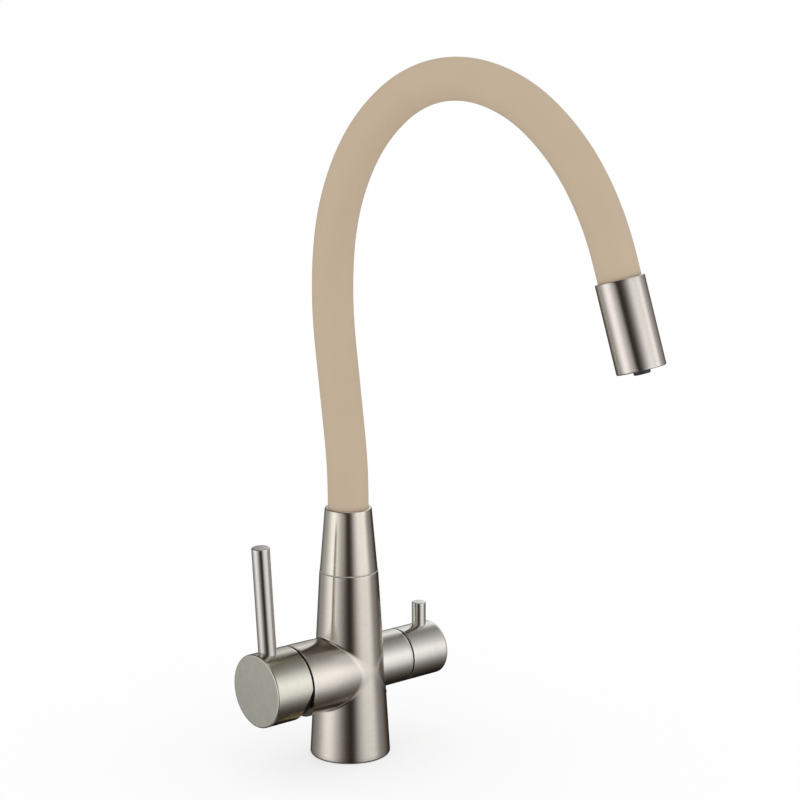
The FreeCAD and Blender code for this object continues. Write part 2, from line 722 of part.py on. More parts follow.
def filter_fixed_disc():
    disc = rod(FILTER_DISC_RADIUS, FILTER_SEAL_END, FILTER_DISC_END)
    return disc.cut(filter_ports(FILTER_PORT_RADIUS, FILTER_SEAL_END - MARGIN, FILTER_DISC_END + MARGIN))


def filter_moving_disc():
    """The turning disc: two open quarters pass the water at a quarter turn."""
    disc = rod(FILTER_DISC_RADIUS, FILTER_DISC_END, ROTOR_END)
    web = 2 * FILTER_PORT_RADIUS
    opening = rod(FILTER_DISC_RADIUS - web / 2, FILTER_DISC_END - MARGIN, ROTOR_END + MARGIN)
    bar = box(
        vector(-FILTER_DISC_RADIUS, -web, FILTER_DISC_END - 2 * MARGIN),
        vector(FILTER_DISC_RADIUS, web, ROTOR_END + 2 * MARGIN),
    )
    return disc.cut(opening.cut(bar))


def filter_bonnet():
    neck_bore = SPINDLE_RADIUS + SPINDLE_CLEARANCE
    return turned(
        (
            (BONNET_BORE_RADIUS, FILTER_CAVITY_FLOOR),
            (BONNET_SLEEVE_RADIUS, FILTER_CAVITY_FLOOR),
            (BONNET_SLEEVE_RADIUS, BONNET_THREAD_START),
            (FILTER_CAVITY_RADIUS, BONNET_THREAD_START),
            (FILTER_CAVITY_RADIUS, FILTER_BOSS_REACH),
            (BONNET_FLANGE_RADIUS, FILTER_BOSS_REACH),
            (BONNET_FLANGE_RADIUS, BONNET_FLANGE_END),
            (BONNET_NECK_RADIUS, BONNET_FLANGE_END),
            (BONNET_NECK_RADIUS, BONNET_END),
            (neck_bore, BONNET_END),
            (neck_bore, DRIVER_END + SPINDLE_CLEARANCE),
            (BONNET_BORE_RADIUS, DRIVER_END + SPINDLE_CLEARANCE),
        )
    )


def filter_spindle():
    clip_start = BONNET_END + CLIP_GAP
    corners = [
        (0, ROTOR_END),
        (SPINDLE_DRIVER_RADIUS, ROTOR_END),
        (SPINDLE_DRIVER_RADIUS, DRIVER_END),
        (SPINDLE_RADIUS, DRIVER_END),
    ]
    for place in SPINDLE_GROOVE_PLACES:
        half = SPINDLE_GROOVE_WIDTH / 2
        corners.append((SPINDLE_RADIUS, place - half))
        corners.append((SPINDLE_GROOVE_RADIUS, place - half))
        corners.append((SPINDLE_GROOVE_RADIUS, place + half))
        corners.append((SPINDLE_RADIUS, place + half))
    corners += [
        (SPINDLE_RADIUS, clip_start),
        (CLIP_GROOVE_RADIUS, clip_start),
        (CLIP_GROOVE_RADIUS, clip_start + CLIP_THICKNESS),
        (SPINDLE_SPLINE_RADIUS, clip_start + CLIP_THICKNESS),
        (SPINDLE_SPLINE_RADIUS, SPINDLE_END),
        (0, SPINDLE_END),
    ]
    return turned(corners)


def spindle_seals():
    outer = SPINDLE_RADIUS + SPINDLE_CLEARANCE - RING_RUNNING_CLEARANCE
    rings = [seal(SPINDLE_GROOVE_RADIUS, outer, place) for place in SPINDLE_GROOVE_PLACES]
    return Part.makeCompound(rings)


def filter_clip():
    start = BONNET_END + CLIP_GAP
    clip = ring(CLIP_GROOVE_RADIUS, CLIP_RADIUS, start, start + CLIP_THICKNESS)
    gap = box(
        vector(0, -CLIP_OPENING / 2, start - MARGIN),
        vector(CLIP_RADIUS + MARGIN, CLIP_OPENING / 2, start + CLIP_THICKNESS + MARGIN),
    )
    return clip.cut(gap)


# Filtered-water knob and pin


def knob_pin_spigot(extra=0.0):
    start = HANDLE_HEIGHT + FILTER_RADIUS - PIN_SPIGOT_LENGTH
    return rod(PIN_SPIGOT_RADIUS, start, start + PIN_SPIGOT_LENGTH + extra, PIN_X)


def filter_knob():
    shell = turned(
        (
            (0, KNOB_START),
            (FILTER_RADIUS, KNOB_START),
            (FILTER_RADIUS, KNOB_END, KNOB_EDGE),
            (0, KNOB_END),
        )
    )
    cutters = [
        rod(KNOB_BORE_RADIUS, KNOB_START - MARGIN, KNOB_FLOOR),
        rod(SPINDLE_SPLINE_RADIUS, KNOB_FLOOR - MARGIN, SPINDLE_END),
        below_filter_axis(FILTER_GRUB_RADIUS, SPINDLE_SPLINE_RADIUS - MARGIN, FILTER_RADIUS + MARGIN),
    ]
    return on_filter_axis(shell.cut(cutters)).cut(knob_pin_spigot(MARGIN))


def below_filter_axis(radius, near, far):
    """A rod that points straight down from the valve's axis at its grub screw."""
    return Part.makeCylinder(radius, far - near, vector(near, 0, FILTER_GRUB_X), X_AXIS)


def filter_pin():
    bar = rod(PIN_RADIUS, HANDLE_HEIGHT, PIN_TOP, PIN_X)
    bar = bar.cut(on_filter_axis(rod(FILTER_RADIUS, 0, KNOB_END + BASE_RADIUS)))
    return bar.fuse(knob_pin_spigot(MARGIN))


def filter_grub_screw():
    near = SPINDLE_SPLINE_RADIUS
    return below_filter_axis(FILTER_GRUB_RADIUS, near, near + FILTER_GRUB_LENGTH)


# Swivel

NIPPLE_FLANGE_TOP = COLUMN_HEIGHT + NIPPLE_FLANGE_THICKNESS
NIPPLE_TOP = NIPPLE_FLANGE_TOP + NIPPLE_LENGTH
SPIGOT_TOP = NIPPLE_TOP + NIPPLE_SPIGOT_LENGTH
FITTING_BOTTOM = NIPPLE_FLANGE_TOP + FITTING_GAP
CHAMBER_TOP = NIPPLE_TOP + FITTING_CHAMBER_HEIGHT
FITTING_TOP = COLUMN_HEIGHT + FITTING_HEIGHT
BARB_TOP = FITTING_TOP + FITTING_BARB_LENGTH
RUNNING_BORE = NIPPLE_RADIUS + NIPPLE_RUNNING_CLEARANCE
SPIGOT_BORE = NIPPLE_SPIGOT_RADIUS + NIPPLE_RUNNING_CLEARANCE
SPIGOT_SEAL_HEIGHT = NIPPLE_TOP + SPIGOT_GROOVE_RISE


def groove(corners, radius, floor_radius, low, high):
    corners.append((radius, low))
    corners.append((floor_radius, low))
    corners.append((floor_radius, high))
    corners.append((radius, high))


def swivel_nipple():
    corners = [
        (0, SWIVEL_SOCKET_FLOOR - NIPPLE_TAIL_LENGTH),
        (NIPPLE_TAIL_RADIUS, SWIVEL_SOCKET_FLOOR - NIPPLE_TAIL_LENGTH),
        (NIPPLE_TAIL_RADIUS, SWIVEL_SOCKET_FLOOR),
        (NIPPLE_THREAD_RADIUS, SWIVEL_SOCKET_FLOOR),
        (NIPPLE_THREAD_RADIUS, COLUMN_HEIGHT),
        (NIPPLE_FLANGE_RADIUS, COLUMN_HEIGHT),
        (NIPPLE_FLANGE_RADIUS, NIPPLE_FLANGE_TOP),
        (NIPPLE_RADIUS, NIPPLE_FLANGE_TOP),
    ]
    half = SEAL_GROOVE_WIDTH / 2
    low_glide, high_glide = (NIPPLE_FLANGE_TOP + rise for rise in GLIDE_RING_RISES)
    low_seal, high_seal = (NIPPLE_FLANGE_TOP + rise for rise in SEAL_GROOVE_RISES)
    groove(corners, NIPPLE_RADIUS, GLIDE_GROOVE_RADIUS, low_glide, low_glide + GLIDE_RING_WIDTH)
    groove(corners, NIPPLE_RADIUS, SEAL_GROOVE_RADIUS, low_seal - half, low_seal + half)
    groove(corners, NIPPLE_RADIUS, SEAL_GROOVE_RADIUS, high_seal - half, high_seal + half)
    groove(corners, NIPPLE_RADIUS, GLIDE_GROOVE_RADIUS, high_glide, high_glide + GLIDE_RING_WIDTH)
    corners += [(NIPPLE_RADIUS, NIPPLE_TOP), (NIPPLE_SPIGOT_RADIUS, NIPPLE_TOP)]
    half = SPIGOT_GROOVE_WIDTH / 2
    groove(
        corners,
        NIPPLE_SPIGOT_RADIUS,
        SPIGOT_GROOVE_RADIUS,
        SPIGOT_SEAL_HEIGHT - half,
        SPIGOT_SEAL_HEIGHT + half,
    )
    corners += [(NIPPLE_SPIGOT_RADIUS, SPIGOT_TOP), (0, SPIGOT_TOP)]
    nipple = turned(corners)
    low = SWIVEL_SOCKET_FLOOR - NIPPLE_TAIL_LENGTH - MARGIN
    cutters = [rod(NIPPLE_CENTRE_BORE_RADIUS, low, SPIGOT_TOP + MARGIN)]
    for number in range(NIPPLE_WATER_HOLES):
        angle = 2 * math.pi / NIPPLE_WATER_HOLES * (number + 0.5)
        x = NIPPLE_WATER_CIRCLE * math.cos(angle)
        y = NIPPLE_WATER_CIRCLE * math.sin(angle)
        cutters.append(
            rod(NIPPLE_WATER_HOLE_RADIUS, SWIVEL_SOCKET_FLOOR - MARGIN, NIPPLE_TOP + MARGIN, x, y)
        )
    return nipple.cut(cutters)


def swivel_seals():
    outer = RUNNING_BORE - RING_RUNNING_CLEARANCE
    rings = [seal(SEAL_GROOVE_RADIUS, outer, NIPPLE_FLANGE_TOP + rise) for rise in SEAL_GROOVE_RISES]
    spigot_outer = SPIGOT_BORE - RING_RUNNING_CLEARANCE
    rings.append(seal(SPIGOT_GROOVE_RADIUS, spigot_outer, SPIGOT_SEAL_HEIGHT))
    return Part.makeCompound(rings)


def glide_rings():
    outer = RUNNING_BORE - RING_RUNNING_CLEARANCE
    rings = []
    for rise in GLIDE_RING_RISES:
        low = NIPPLE_FLANGE_TOP + rise
        rings.append(ring(GLIDE_GROOVE_RADIUS, outer, low, low + GLIDE_RING_WIDTH))
    return Part.makeCompound(rings)


def spout_fitting():
    """The turning end of the spout: a bell over the nipple and a barb in the hose."""
    bell = turned(
        (
            (RUNNING_BORE, FITTING_BOTTOM),
            (FITTING_RADIUS, FITTING_BOTTOM),
            (FITTING_RADIUS, FITTING_TOP),
            (BARB_RADIUS, FITTING_TOP),
            (BARB_RADIUS, BARB_TOP),
            (0, BARB_TOP),
            (0, SPIGOT_TOP + FITTING_ROOF_CLEARANCE),
            (SPIGOT_BORE, SPIGOT_TOP + FITTING_ROOF_CLEARANCE),
            (SPIGOT_BORE, CHAMBER_TOP),
            (RUNNING_BORE, CHAMBER_TOP),
        )
    )
    seat = BARB_TOP - TUBE_INSERTION
    beside_spigot = -SPIGOT_BORE - 2 * FITTING_WATERWAY_RADIUS
    cutters = [
        rod(FITTING_WATERWAY_RADIUS, CHAMBER_TOP - MARGIN, seat + MARGIN, 0, beside_spigot),
        rod(MIXED_TUBE_RADIUS, seat, BARB_TOP + MARGIN, 0, MIXED_TUBE_OFFSET),
        rod(FILTERED_TUBE_RADIUS, seat, BARB_TOP + MARGIN, 0, FILTERED_TUBE_OFFSET),
        rod(NIPPLE_CENTRE_BORE_RADIUS, SPIGOT_TOP, seat + MARGIN, 0, FITTING_FEED_OFFSET),
    ]
    return in_spout_plane(bell.cut(cutters))


def spout_collar():
    start = COLUMN_HEIGHT + COLLAR_GAP
    end = COLUMN_HEIGHT + COLLAR_HEIGHT
    shell = turned(
        (
            (NIPPLE_FLANGE_RADIUS + FITTING_GAP, start),
            (COLUMN_TOP_RADIUS, start),
            (COLLAR_TOP_RADIUS, end, COLLAR_LIP_ROUND),
            (HOSE_RADIUS + HOSE_CLEARANCE, end),
            (HOSE_RADIUS + HOSE_CLEARANCE, FITTING_TOP),
            (FITTING_RADIUS, FITTING_TOP),
            (FITTING_RADIUS, FITTING_BOTTOM),
            (NIPPLE_FLANGE_RADIUS + FITTING_GAP, FITTING_BOTTOM),
        )
    )
    return in_spout_plane(shell)


# Spout hose

HOSE_BOTTOM = FITTING_TOP
COLLAR_TOP = COLUMN_HEIGHT + COLLAR_HEIGHT


def hose_route():
    """Every stretch of the centre line: its length and its turn, from the hose's foot."""
    foot = (COLLAR_TOP - HOSE_BOTTOM + HOSE_RISE, 0.0)
    head = (HOSE_DROP + HOSE_INSERTION, 0.0)
    arch = tuple((share * ARCH_LENGTH, turn) for share, turn in ARCH_RUNS)
    return (foot,) + arch + (head,)


def advance(point, heading, length, turn):
    """The point and heading a length further on, on a line or an arc of that turn."""
    if turn == 0:
        return point + vector(math.cos(heading), 0, math.sin(heading)) * length, heading
    radius = length / math.radians(turn)
    side = vector(-math.sin(heading), 0, math.cos(heading))
    after = heading + math.radians(turn)
    new_side = vector(-math.sin(after), 0, math.cos(after))
    return point + side * radius - new_side * radius, after


def hose_wire():
    point = vector(0, 0, HOSE_BOTTOM)
    heading = math.pi / 2
    edges = []
    for length, turn in hose_route():
        end, end_heading = advance(point, heading, length, turn)
        if turn == 0:
            edges.append(Part.LineSegment(point, end).toShape())
        else:
            middle, _ = advance(point, heading, length / 2, turn / 2)
            edges.append(Part.Arc(point, middle, end).toShape())
        point, heading = end, end_heading
    return Part.Wire(edges)


def route_stations(sag):
    """Places along the centre line, close enough that straight steps miss it by the sag."""
    point = vector(0, 0, HOSE_BOTTOM)
    heading = math.pi / 2
    stations = [(point, heading)]
    for length, turn in hose_route():
        steps = 1
        if turn != 0:
            radius = abs(length / math.radians(turn))
            steps = max(1, math.ceil(length / math.sqrt(8 * radius * sag)))
        for _ in range(steps):
            point, heading = advance(point, heading, length / steps, turn / steps)
            stations.append((point, heading))
    return stations


def stepped_tube(radius, sag, offset=0.0, trim_start=0.0, trim_end=0.0):
    """A rod along the centre line in short straight steps, beside it by the offset."""
    stations = route_stations(sag)
    first, first_heading = stations[0]
    last, last_heading = stations[-1]
    stations[0] = (first + vector(0, 0, trim_start), first_heading)
    back = vector(math.cos(last_heading), 0, math.sin(last_heading)) * trim_end
    stations[-1] = (last - back, last_heading)
    rings = []
    for point, heading in stations:
        direction = vector(math.cos(heading), 0, math.sin(heading))
        rings.append(Part.Wire(Part.makeCircle(radius, point + vector(0, offset, 0), direction)))
    return Part.makeLoft(rings, True, True)


def outlet_frame():
    """The outlet's top centre and its axis, pointing out of its mouth, at rest."""
    point = vector(0, 0, HOSE_BOTTOM)
    heading = math.pi / 2
    for length, turn in hose_route():
        point, heading = advance(point, heading, length, turn)
    axis = vector(math.cos(heading), 0, math.sin(heading))
    return point - axis * HOSE_INSERTION, axis


def hose_sleeve():
    section = Part.Face(Part.Wire(Part.makeCircle(HOSE_RADIUS, vector(0, 0, HOSE_BOTTOM), Z_AXIS)))
    outside = hose_wire().makePipe(section)
    bore = stepped_tube(HOSE_BORE_RADIUS, BORE_SAG, 0.0, -MARGIN, -MARGIN)
    return in_spout_plane(outside.cut(bore))


TUBE_START_TRIM = BARB_TOP - HOSE_BOTTOM - TUBE_INSERTION


def tube_end_trim():
    """How far the inner tubes stop short of the hose's end, in the outlet's adapter."""
    barb_tip = ADAPTER_BARB_LENGTH - TUBE_INSERTION
    return HOSE_INSERTION + barb_tip + TUBE_END_CLEARANCE


def water_tube(radius, wall, offset):
    start = TUBE_START_TRIM
    end = tube_end_trim()
    outside = stepped_tube(radius, TUBE_SAG, offset, start, end)
    bore = stepped_tube(radius - wall, TUBE_SAG, offset, start - MARGIN, end - MARGIN)
    return in_spout_plane(outside.cut(bore))


def mixed_water_tube():
    return water_tube(MIXED_TUBE_RADIUS, MIXED_TUBE_WALL, MIXED_TUBE_OFFSET)


def filtered_water_tube():
    return water_tube(FILTERED_TUBE_RADIUS, FILTERED_TUBE_WALL, FILTERED_TUBE_OFFSET)


# Outlet

OUTLET_BORE = OUTLET_RADIUS - OUTLET_WALL
NOZZLE_START = ADAPTER_END - NOZZLE_SEAT_DEPTH
NOZZLE_END = OUTLET_LENGTH + NOZZLE_PROTRUSION
AERATOR_END = OUTLET_LENGTH - AERATOR_RECESS
AERATOR_START = AERATOR_END - AERATOR_LENGTH


def at_outlet(shape):
    """From the outlet's own frame (Z out of its mouth) to its place at the hose's end."""
    top, axis = outlet_frame()
    return in_spout_plane(placed(shape, top, axis))


def outlet_shell():
    mouth = HOSE_RADIUS + HOSE_CLEARANCE
    return at_outlet(
        turned(
            (
                (mouth, 0),
                (OUTLET_RADIUS, 0, OUTLET_EDGE),
                (OUTLET_RADIUS, OUTLET_LENGTH, OUTLET_EDGE),
                (OUTLET_BORE, OUTLET_LENGTH),
                (OUTLET_BORE, OUTLET_TOP_THICKNESS),
                (mouth, OUTLET_TOP_THICKNESS),
            )
        )
    )


def outlet_adapter():
    body = turned(
        (
            (0, -ADAPTER_BARB_LENGTH),
            (BARB_RADIUS, -ADAPTER_BARB_LENGTH),
            (BARB_RADIUS, ADAPTER_FLANGE_PLACE),
            (OUTLET_BORE, ADAPTER_FLANGE_PLACE),
            (OUTLET_BORE, ADAPTER_END),
            (0, ADAPTER_END),
        )
    )
    seat = -ADAPTER_BARB_LENGTH + TUBE_INSERTION
    low = -ADAPTER_BARB_LENGTH - MARGIN
    mixed = MIXED_TUBE_RADIUS + TUBE_END_CLEARANCE
    filtered = FILTERED_TUBE_RADIUS + TUBE_END_CLEARANCE
    past_nozzle = -(NOZZLE_RADIUS + ADAPTER_WATERWAY_RADIUS + ADAPTER_INNER_WALL)
    chamber_start = NOZZLE_START - NOZZLE_CHAMBER_DEPTH
    cutters = [
        rod(mixed, low, seat, 0, MIXED_TUBE_OFFSET),
        rod(filtered, low, seat, 0, FILTERED_TUBE_OFFSET),
        rod(ADAPTER_WATERWAY_RADIUS, seat - MARGIN, ADAPTER_FLANGE_PLACE, 0, MIXED_TUBE_OFFSET),
        rod(ADAPTER_WATERWAY_RADIUS, ADAPTER_FLANGE_PLACE, ADAPTER_END + MARGIN, 0, past_nozzle),
        rod(
            ADAPTER_FILTERED_WATERWAY_RADIUS,
            seat - MARGIN,
            NOZZLE_START,
            0,
            FILTERED_TUBE_OFFSET,
        ),
        rod(NOZZLE_CHAMBER_RADIUS, chamber_start, NOZZLE_START + MARGIN),
        rod(NOZZLE_RADIUS, NOZZLE_START, ADAPTER_END + MARGIN),
        box(
            vector(-ADAPTER_WATERWAY_RADIUS, past_nozzle, ADAPTER_FLANGE_PLACE),
            vector(ADAPTER_WATERWAY_RADIUS, MIXED_TUBE_OFFSET, ADAPTER_FLANGE_PLACE + ADAPTER_CHANNEL_DEPTH),
        ),
    ]
    return at_outlet(body.cut(cutters))


def filtered_nozzle():
    return at_outlet(ring(NOZZLE_BORE_RADIUS, NOZZLE_RADIUS, NOZZLE_START, NOZZLE_END))


def aerator_seal():
    low = AERATOR_START - AERATOR_SEAL_THICKNESS
    inner = OUTLET_BORE - 2 * AERATOR_RING_WALL
    return at_outlet(ring(inner, OUTLET_BORE, low, AERATOR_START))


def aerator_housing():
    inner = NOZZLE_RADIUS + AERATOR_RING_WALL
    outer = OUTLET_BORE - AERATOR_RING_WALL
    plate = AERATOR_START + MESH_DROP
    housing = ring(NOZZLE_RADIUS, OUTLET_BORE, AERATOR_START, AERATOR_END)
    housing = housing.cut(
        [
            ring(inner, outer, plate + MESH_THICKNESS, AERATOR_END + MARGIN),
            ring(inner, outer, AERATOR_START - MARGIN, plate - MESH_THICKNESS),
        ]
    )
    holes = []
    for number in range(AERATOR_HOLES):
        angle = 2 * math.pi / AERATOR_HOLES * number
        reach = (inner + outer) / 2
        x = reach * math.cos(angle)
        y = reach * math.sin(angle)
        holes.append(rod(AERATOR_HOLE_RADIUS, plate - 2 * MARGIN, plate + 2 * MARGIN, x, y))
    return at_outlet(housing.cut(holes))


def aerator_mesh():
    inner = NOZZLE_RADIUS + AERATOR_RING_WALL
    outer = OUTLET_BORE - AERATOR_RING_WALL
    low = AERATOR_START + MESH_DROP + MESH_THICKNESS
    return at_outlet(ring(inner, outer, low + MESH_THICKNESS, low + 2 * MESH_THICKNESS))


def build():
    return {
        "faucet_body": faucet_body(),
        "base_gasket": base_gasket(),
        "mounting_shank": mounting_shank(),
        "rubber_washer": rubber_washer(),
        "steel_washer": steel_washer(),
        "shank_nut": shank_nut(),
        "cartridge_seal": on_mixer_axis(cartridge_seal()),
        "cartridge_housing": on_mixer_axis(cartridge_housing()),
        "fixed_disc": on_mixer_axis(fixed_disc()),
        "mixer_nut": on_mixer_axis(mixer_nut()),
        "moving_disc": on_mixer_axis(moving_disc()),
        "disc_carrier": on_mixer_axis(disc_carrier()),
        "mixer_turret": on_mixer_axis(mixer_turret()),
        "pivot_pin": on_mixer_axis(pivot_pin()),
        "lever_stem": on_mixer_axis(lever_stem()),
        "mixer_cap": mixer_cap(),
        "mixer_lever": mixer_lever(),
        "mixer_grub_screw": on_mixer_axis(mixer_grub_screw()),
        "mixer_plug": on_mixer_axis(mixer_plug()),
        "filter_seal": on_filter_axis(filter_seal()),
        "filter_fixed_disc": on_filter_axis(filter_fixed_disc()),
        "filter_bonnet": on_filter_axis(filter_bonnet()),
        "filter_moving_disc": on_filter_axis(filter_moving_disc()),
        "filter_spindle": on_filter_axis(filter_spindle()),
        "spindle_seals": on_filter_axis(spindle_seals()),
        "filter_clip": on_filter_axis(filter_clip()),
        "filter_knob": filter_knob(),
        "filter_pin": filter_pin(),
        "filter_grub_screw": on_filter_axis(filter_grub_screw()),
        "swivel_nipple": swivel_nipple(),
        "swivel_seals": swivel_seals(),
        "glide_rings": glide_rings(),
        "spout_fitting": spout_fitting(),
        "spout_collar": spout_collar(),
        "hose_sleeve": hose_sleeve(),
        "mixed_water_tube": mixed_water_tube(),
        "filtered_water_tube": filtered_water_tube(),
        "outlet_shell": outlet_shell(),
        "outlet_adapter": outlet_adapter(),
        "filtered_nozzle": filtered_nozzle(),
        "aerator_seal": aerator_seal(),
        "aerator_housing": aerator_housing(),
        "aerator_mesh": aerator_mesh(),
    }


os.makedirs("parts", exist_ok=True)
for name, shape in build().items():
    print("%-20s %d solids, %.1f mm3, valid %s" % (name, len(shape.Solids), shape.Volume, shape.isValid()))
    shape.exportStep("parts/%s.step" % name)
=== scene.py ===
import json
import math
import bmesh
import bpy
import numpy as np
from mathutils import Matrix, Vector


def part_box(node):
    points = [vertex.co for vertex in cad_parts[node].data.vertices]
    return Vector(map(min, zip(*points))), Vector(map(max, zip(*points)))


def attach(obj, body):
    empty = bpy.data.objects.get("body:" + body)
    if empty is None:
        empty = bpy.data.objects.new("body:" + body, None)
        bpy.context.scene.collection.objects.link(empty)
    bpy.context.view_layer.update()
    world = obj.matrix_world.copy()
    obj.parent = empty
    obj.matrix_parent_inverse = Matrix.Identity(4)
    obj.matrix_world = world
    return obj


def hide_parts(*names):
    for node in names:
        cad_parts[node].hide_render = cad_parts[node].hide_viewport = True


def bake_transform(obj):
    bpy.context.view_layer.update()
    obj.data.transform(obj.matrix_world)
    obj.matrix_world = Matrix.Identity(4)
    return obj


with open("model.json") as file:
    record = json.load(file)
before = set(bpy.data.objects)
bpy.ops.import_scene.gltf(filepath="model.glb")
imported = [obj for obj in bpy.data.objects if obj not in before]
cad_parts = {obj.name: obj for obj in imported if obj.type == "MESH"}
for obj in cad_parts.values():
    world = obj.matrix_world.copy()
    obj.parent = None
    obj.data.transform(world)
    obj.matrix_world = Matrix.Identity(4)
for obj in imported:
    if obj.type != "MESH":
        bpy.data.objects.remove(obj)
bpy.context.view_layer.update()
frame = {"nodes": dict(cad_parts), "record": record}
scene = bpy.context.scene

# Faucet body. A single brass casting: a tapered column with a large round boss for the
# mixer on one side and a smaller one for the filtered water on the other. It is turned,
# dressed where the bosses meet the column, brushed and nickel plated.

MM = 0.001
UP = Vector((0, 0, 1))
MIXER_SIDE = Vector((-1, 0, 0))
FILTER_SIDE = Vector((1, 0, 0))
ORIGIN = Vector((0, 0, 0))
ROUND_STEPS = 5
SHARP_EDGE = math.radians(40)
OFF_AXIS = 0.001 * MM


def rounded(corners):
    """An outline's points; a corner with a third value is rounded to that radius."""
    points = []
    for index, corner in enumerate(corners):
        here = Vector(corner[:2])
        if len(corner) == 2:
            points.append(here)
            continue
        back = (Vector(corners[index - 1][:2]) - here).normalized()
        ahead = (Vector(corners[(index + 1) % len(corners)][:2]) - here).normalized()
        half = back.angle(ahead) / 2
        centre = here + (back + ahead).normalized() * (corner[2] / math.sin(half))
        start = (here + back * (corner[2] / math.tan(half)) - centre).normalized()
        end = (here + ahead * (corner[2] / math.tan(half)) - centre).normalized()
        for step in range(ROUND_STEPS + 1):
            points.append(centre + start.slerp(end, step / ROUND_STEPS) * corner[2])
    return points


def shade(mesh):
    """Smooth shading, but for the edges that are sharper than the limit."""
    mesh.shade_smooth()
    mesh.set_sharp_from_angle(angle=SHARP_EDGE)


def made_from(work, name):
    """An object from a bmesh, shaded and put into the scene."""
    bmesh.ops.recalc_face_normals(work, faces=work.faces)
    mesh = bpy.data.meshes.new(name)
    work.to_mesh(mesh)
    work.free()
    shade(mesh)
    piece = bpy.data.objects.new(name, mesh)
    scene.collection.objects.link(piece)
    return piece


def skin(work, rings):
    """Faces between each ring of points and the next; a ring may be one point repeated."""
    for low, high in zip(rings, rings[1:]):
        for number in range(len(low)):
            after = (number + 1) % len(low)
            around = [low[number], low[after], high[after], high[number]]
            corners_used = list(dict.fromkeys(around))
            if len(corners_used) > 2:
                work.faces.new(corners_used)


def turned(name, corners, at=ORIGIN, along=UP, segments=128):
    """A piece turned on a lathe from (radius, height) corners about its own axis."""
    points = rounded(corners)
    work = bmesh.new()
    rings = []
    for radius, height in points:
        if radius < OFF_AXIS:
            rings.append([work.verts.new((0, 0, height))] * segments)
            continue
        angles = [math.tau * number / segments for number in range(segments)]
        ring = [(radius * math.cos(a), radius * math.sin(a), height) for a in angles]
        rings.append([work.verts.new(place) for place in ring])
    hollow = points[0][0] > OFF_AXIS and points[-1][0] > OFF_AXIS
    skin(work, rings + rings[:1] if hollow else rings)
    turn = UP.rotation_difference(along).to_matrix().to_4x4()
    bmesh.ops.transform(work, matrix=Matrix.Translation(at) @ turn, verts=work.verts)
    return made_from(work, name)


def rod(name, radius, low, high, at=ORIGIN, along=UP, segments=96):
    """A plain rod, used only to cut or add with."""
    return turned(name, [(0, low), (radius, low), (radius, high), (0, high)], at, along, segments)


def block(name, outline_xz, half_width):
    """A block with an outline in the XZ plane, used only to cut with."""
    work = bmesh.new()
    near = [work.verts.new((x, -half_width, z)) for x, z in outline_xz]
    far = [work.verts.new((x, half_width, z)) for x, z in outline_xz]
    work.faces.new(near)
    work.faces.new(far[::-1])
    for index in range(len(near)):
        after = (index + 1) % len(near)
        work.faces.new((near[index], far[index], far[after], near[after]))
    return made_from(work, name)


def combined(piece, others, operation):
    """The piece after the others are joined to it or cut from it; the others are used up."""
    for other in others:
        change = piece.modifiers.new("combine", "BOOLEAN")
        change.operation = operation
        change.solver = "EXACT"
        change.object = other
        bpy.context.view_layer.update()
        graph = bpy.context.evaluated_depsgraph_get()
        mesh = bpy.data.meshes.new_from_object(piece.evaluated_get(graph))
        piece.modifiers.clear()
        piece.data = mesh
        bpy.data.objects.remove(other)
    shade(piece.data)
    return piece


def rows(start, end, pitch):
    """Heights from start to end, evenly spaced at about the pitch."""
    count = max(1, round(abs(end - start) / pitch))
    return [start + (end - start) * number / count for number in range(count + 1)]


body_low, body_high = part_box("faucet_body")
cap_low, cap_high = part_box("mixer_cap")
knob_low, knob_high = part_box("filter_knob")
collar_low, collar_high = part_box("spout_collar")
_, gasket_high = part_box("base_gasket")
shank_low, shank_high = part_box("mounting_shank")

BASE_RADIUS = body_high.y
COLUMN_HEIGHT = body_high.z
NECK_RADIUS = collar_high.y
MIXER_RADIUS = cap_high.y
FILTER_RADIUS = knob_high.y
HANDLE_HEIGHT = cap_high.z - MIXER_RADIUS
MIXER_REACH = -body_low.x
FILTER_REACH = body_high.x
BASE_ROUND = 1.5 * MM
GAP_ROUND = 0.12 * MM
GAP_PARTING = 0.15 * MM
TOP_ROUND = 0.55 * MM
GASKET_INNER = 20.4 * MM
SHANK_THREAD = 16 * MM
NIPPLE_THREAD = 10 * MM
SOCKET_DEPTH = 14 * MM
MIXER_CAVITY = 17.8 * MM
MIXER_CAVITY_FLOOR = 30 * MM
FILTER_CAVITY = 12 * MM
FILTER_CAVITY_FLOOR = 26 * MM
PAST_BOSSES = 60 * MM
handle_centre = Vector((0, 0, HANDLE_HEIGHT))

# Rings of the mesh stand close together where the bosses meet the column, and further
# apart elsewhere. The last one stays a margin away from a rounded rim.
COARSE = 2.5 * MM
FINE = 0.7 * MM
AROUND = 168
WALL_FOOT = 4 * MM
JUNCTION_MARGIN = 4 * MM
RIM_MARGIN = 2 * MM
CLOSE_MARGIN = 1.5 * MM


def column_radius(height):
    """The taper's radius at a height above the worktop."""
    return BASE_RADIUS + (NECK_RADIUS - BASE_RADIUS) * height / COLUMN_HEIGHT


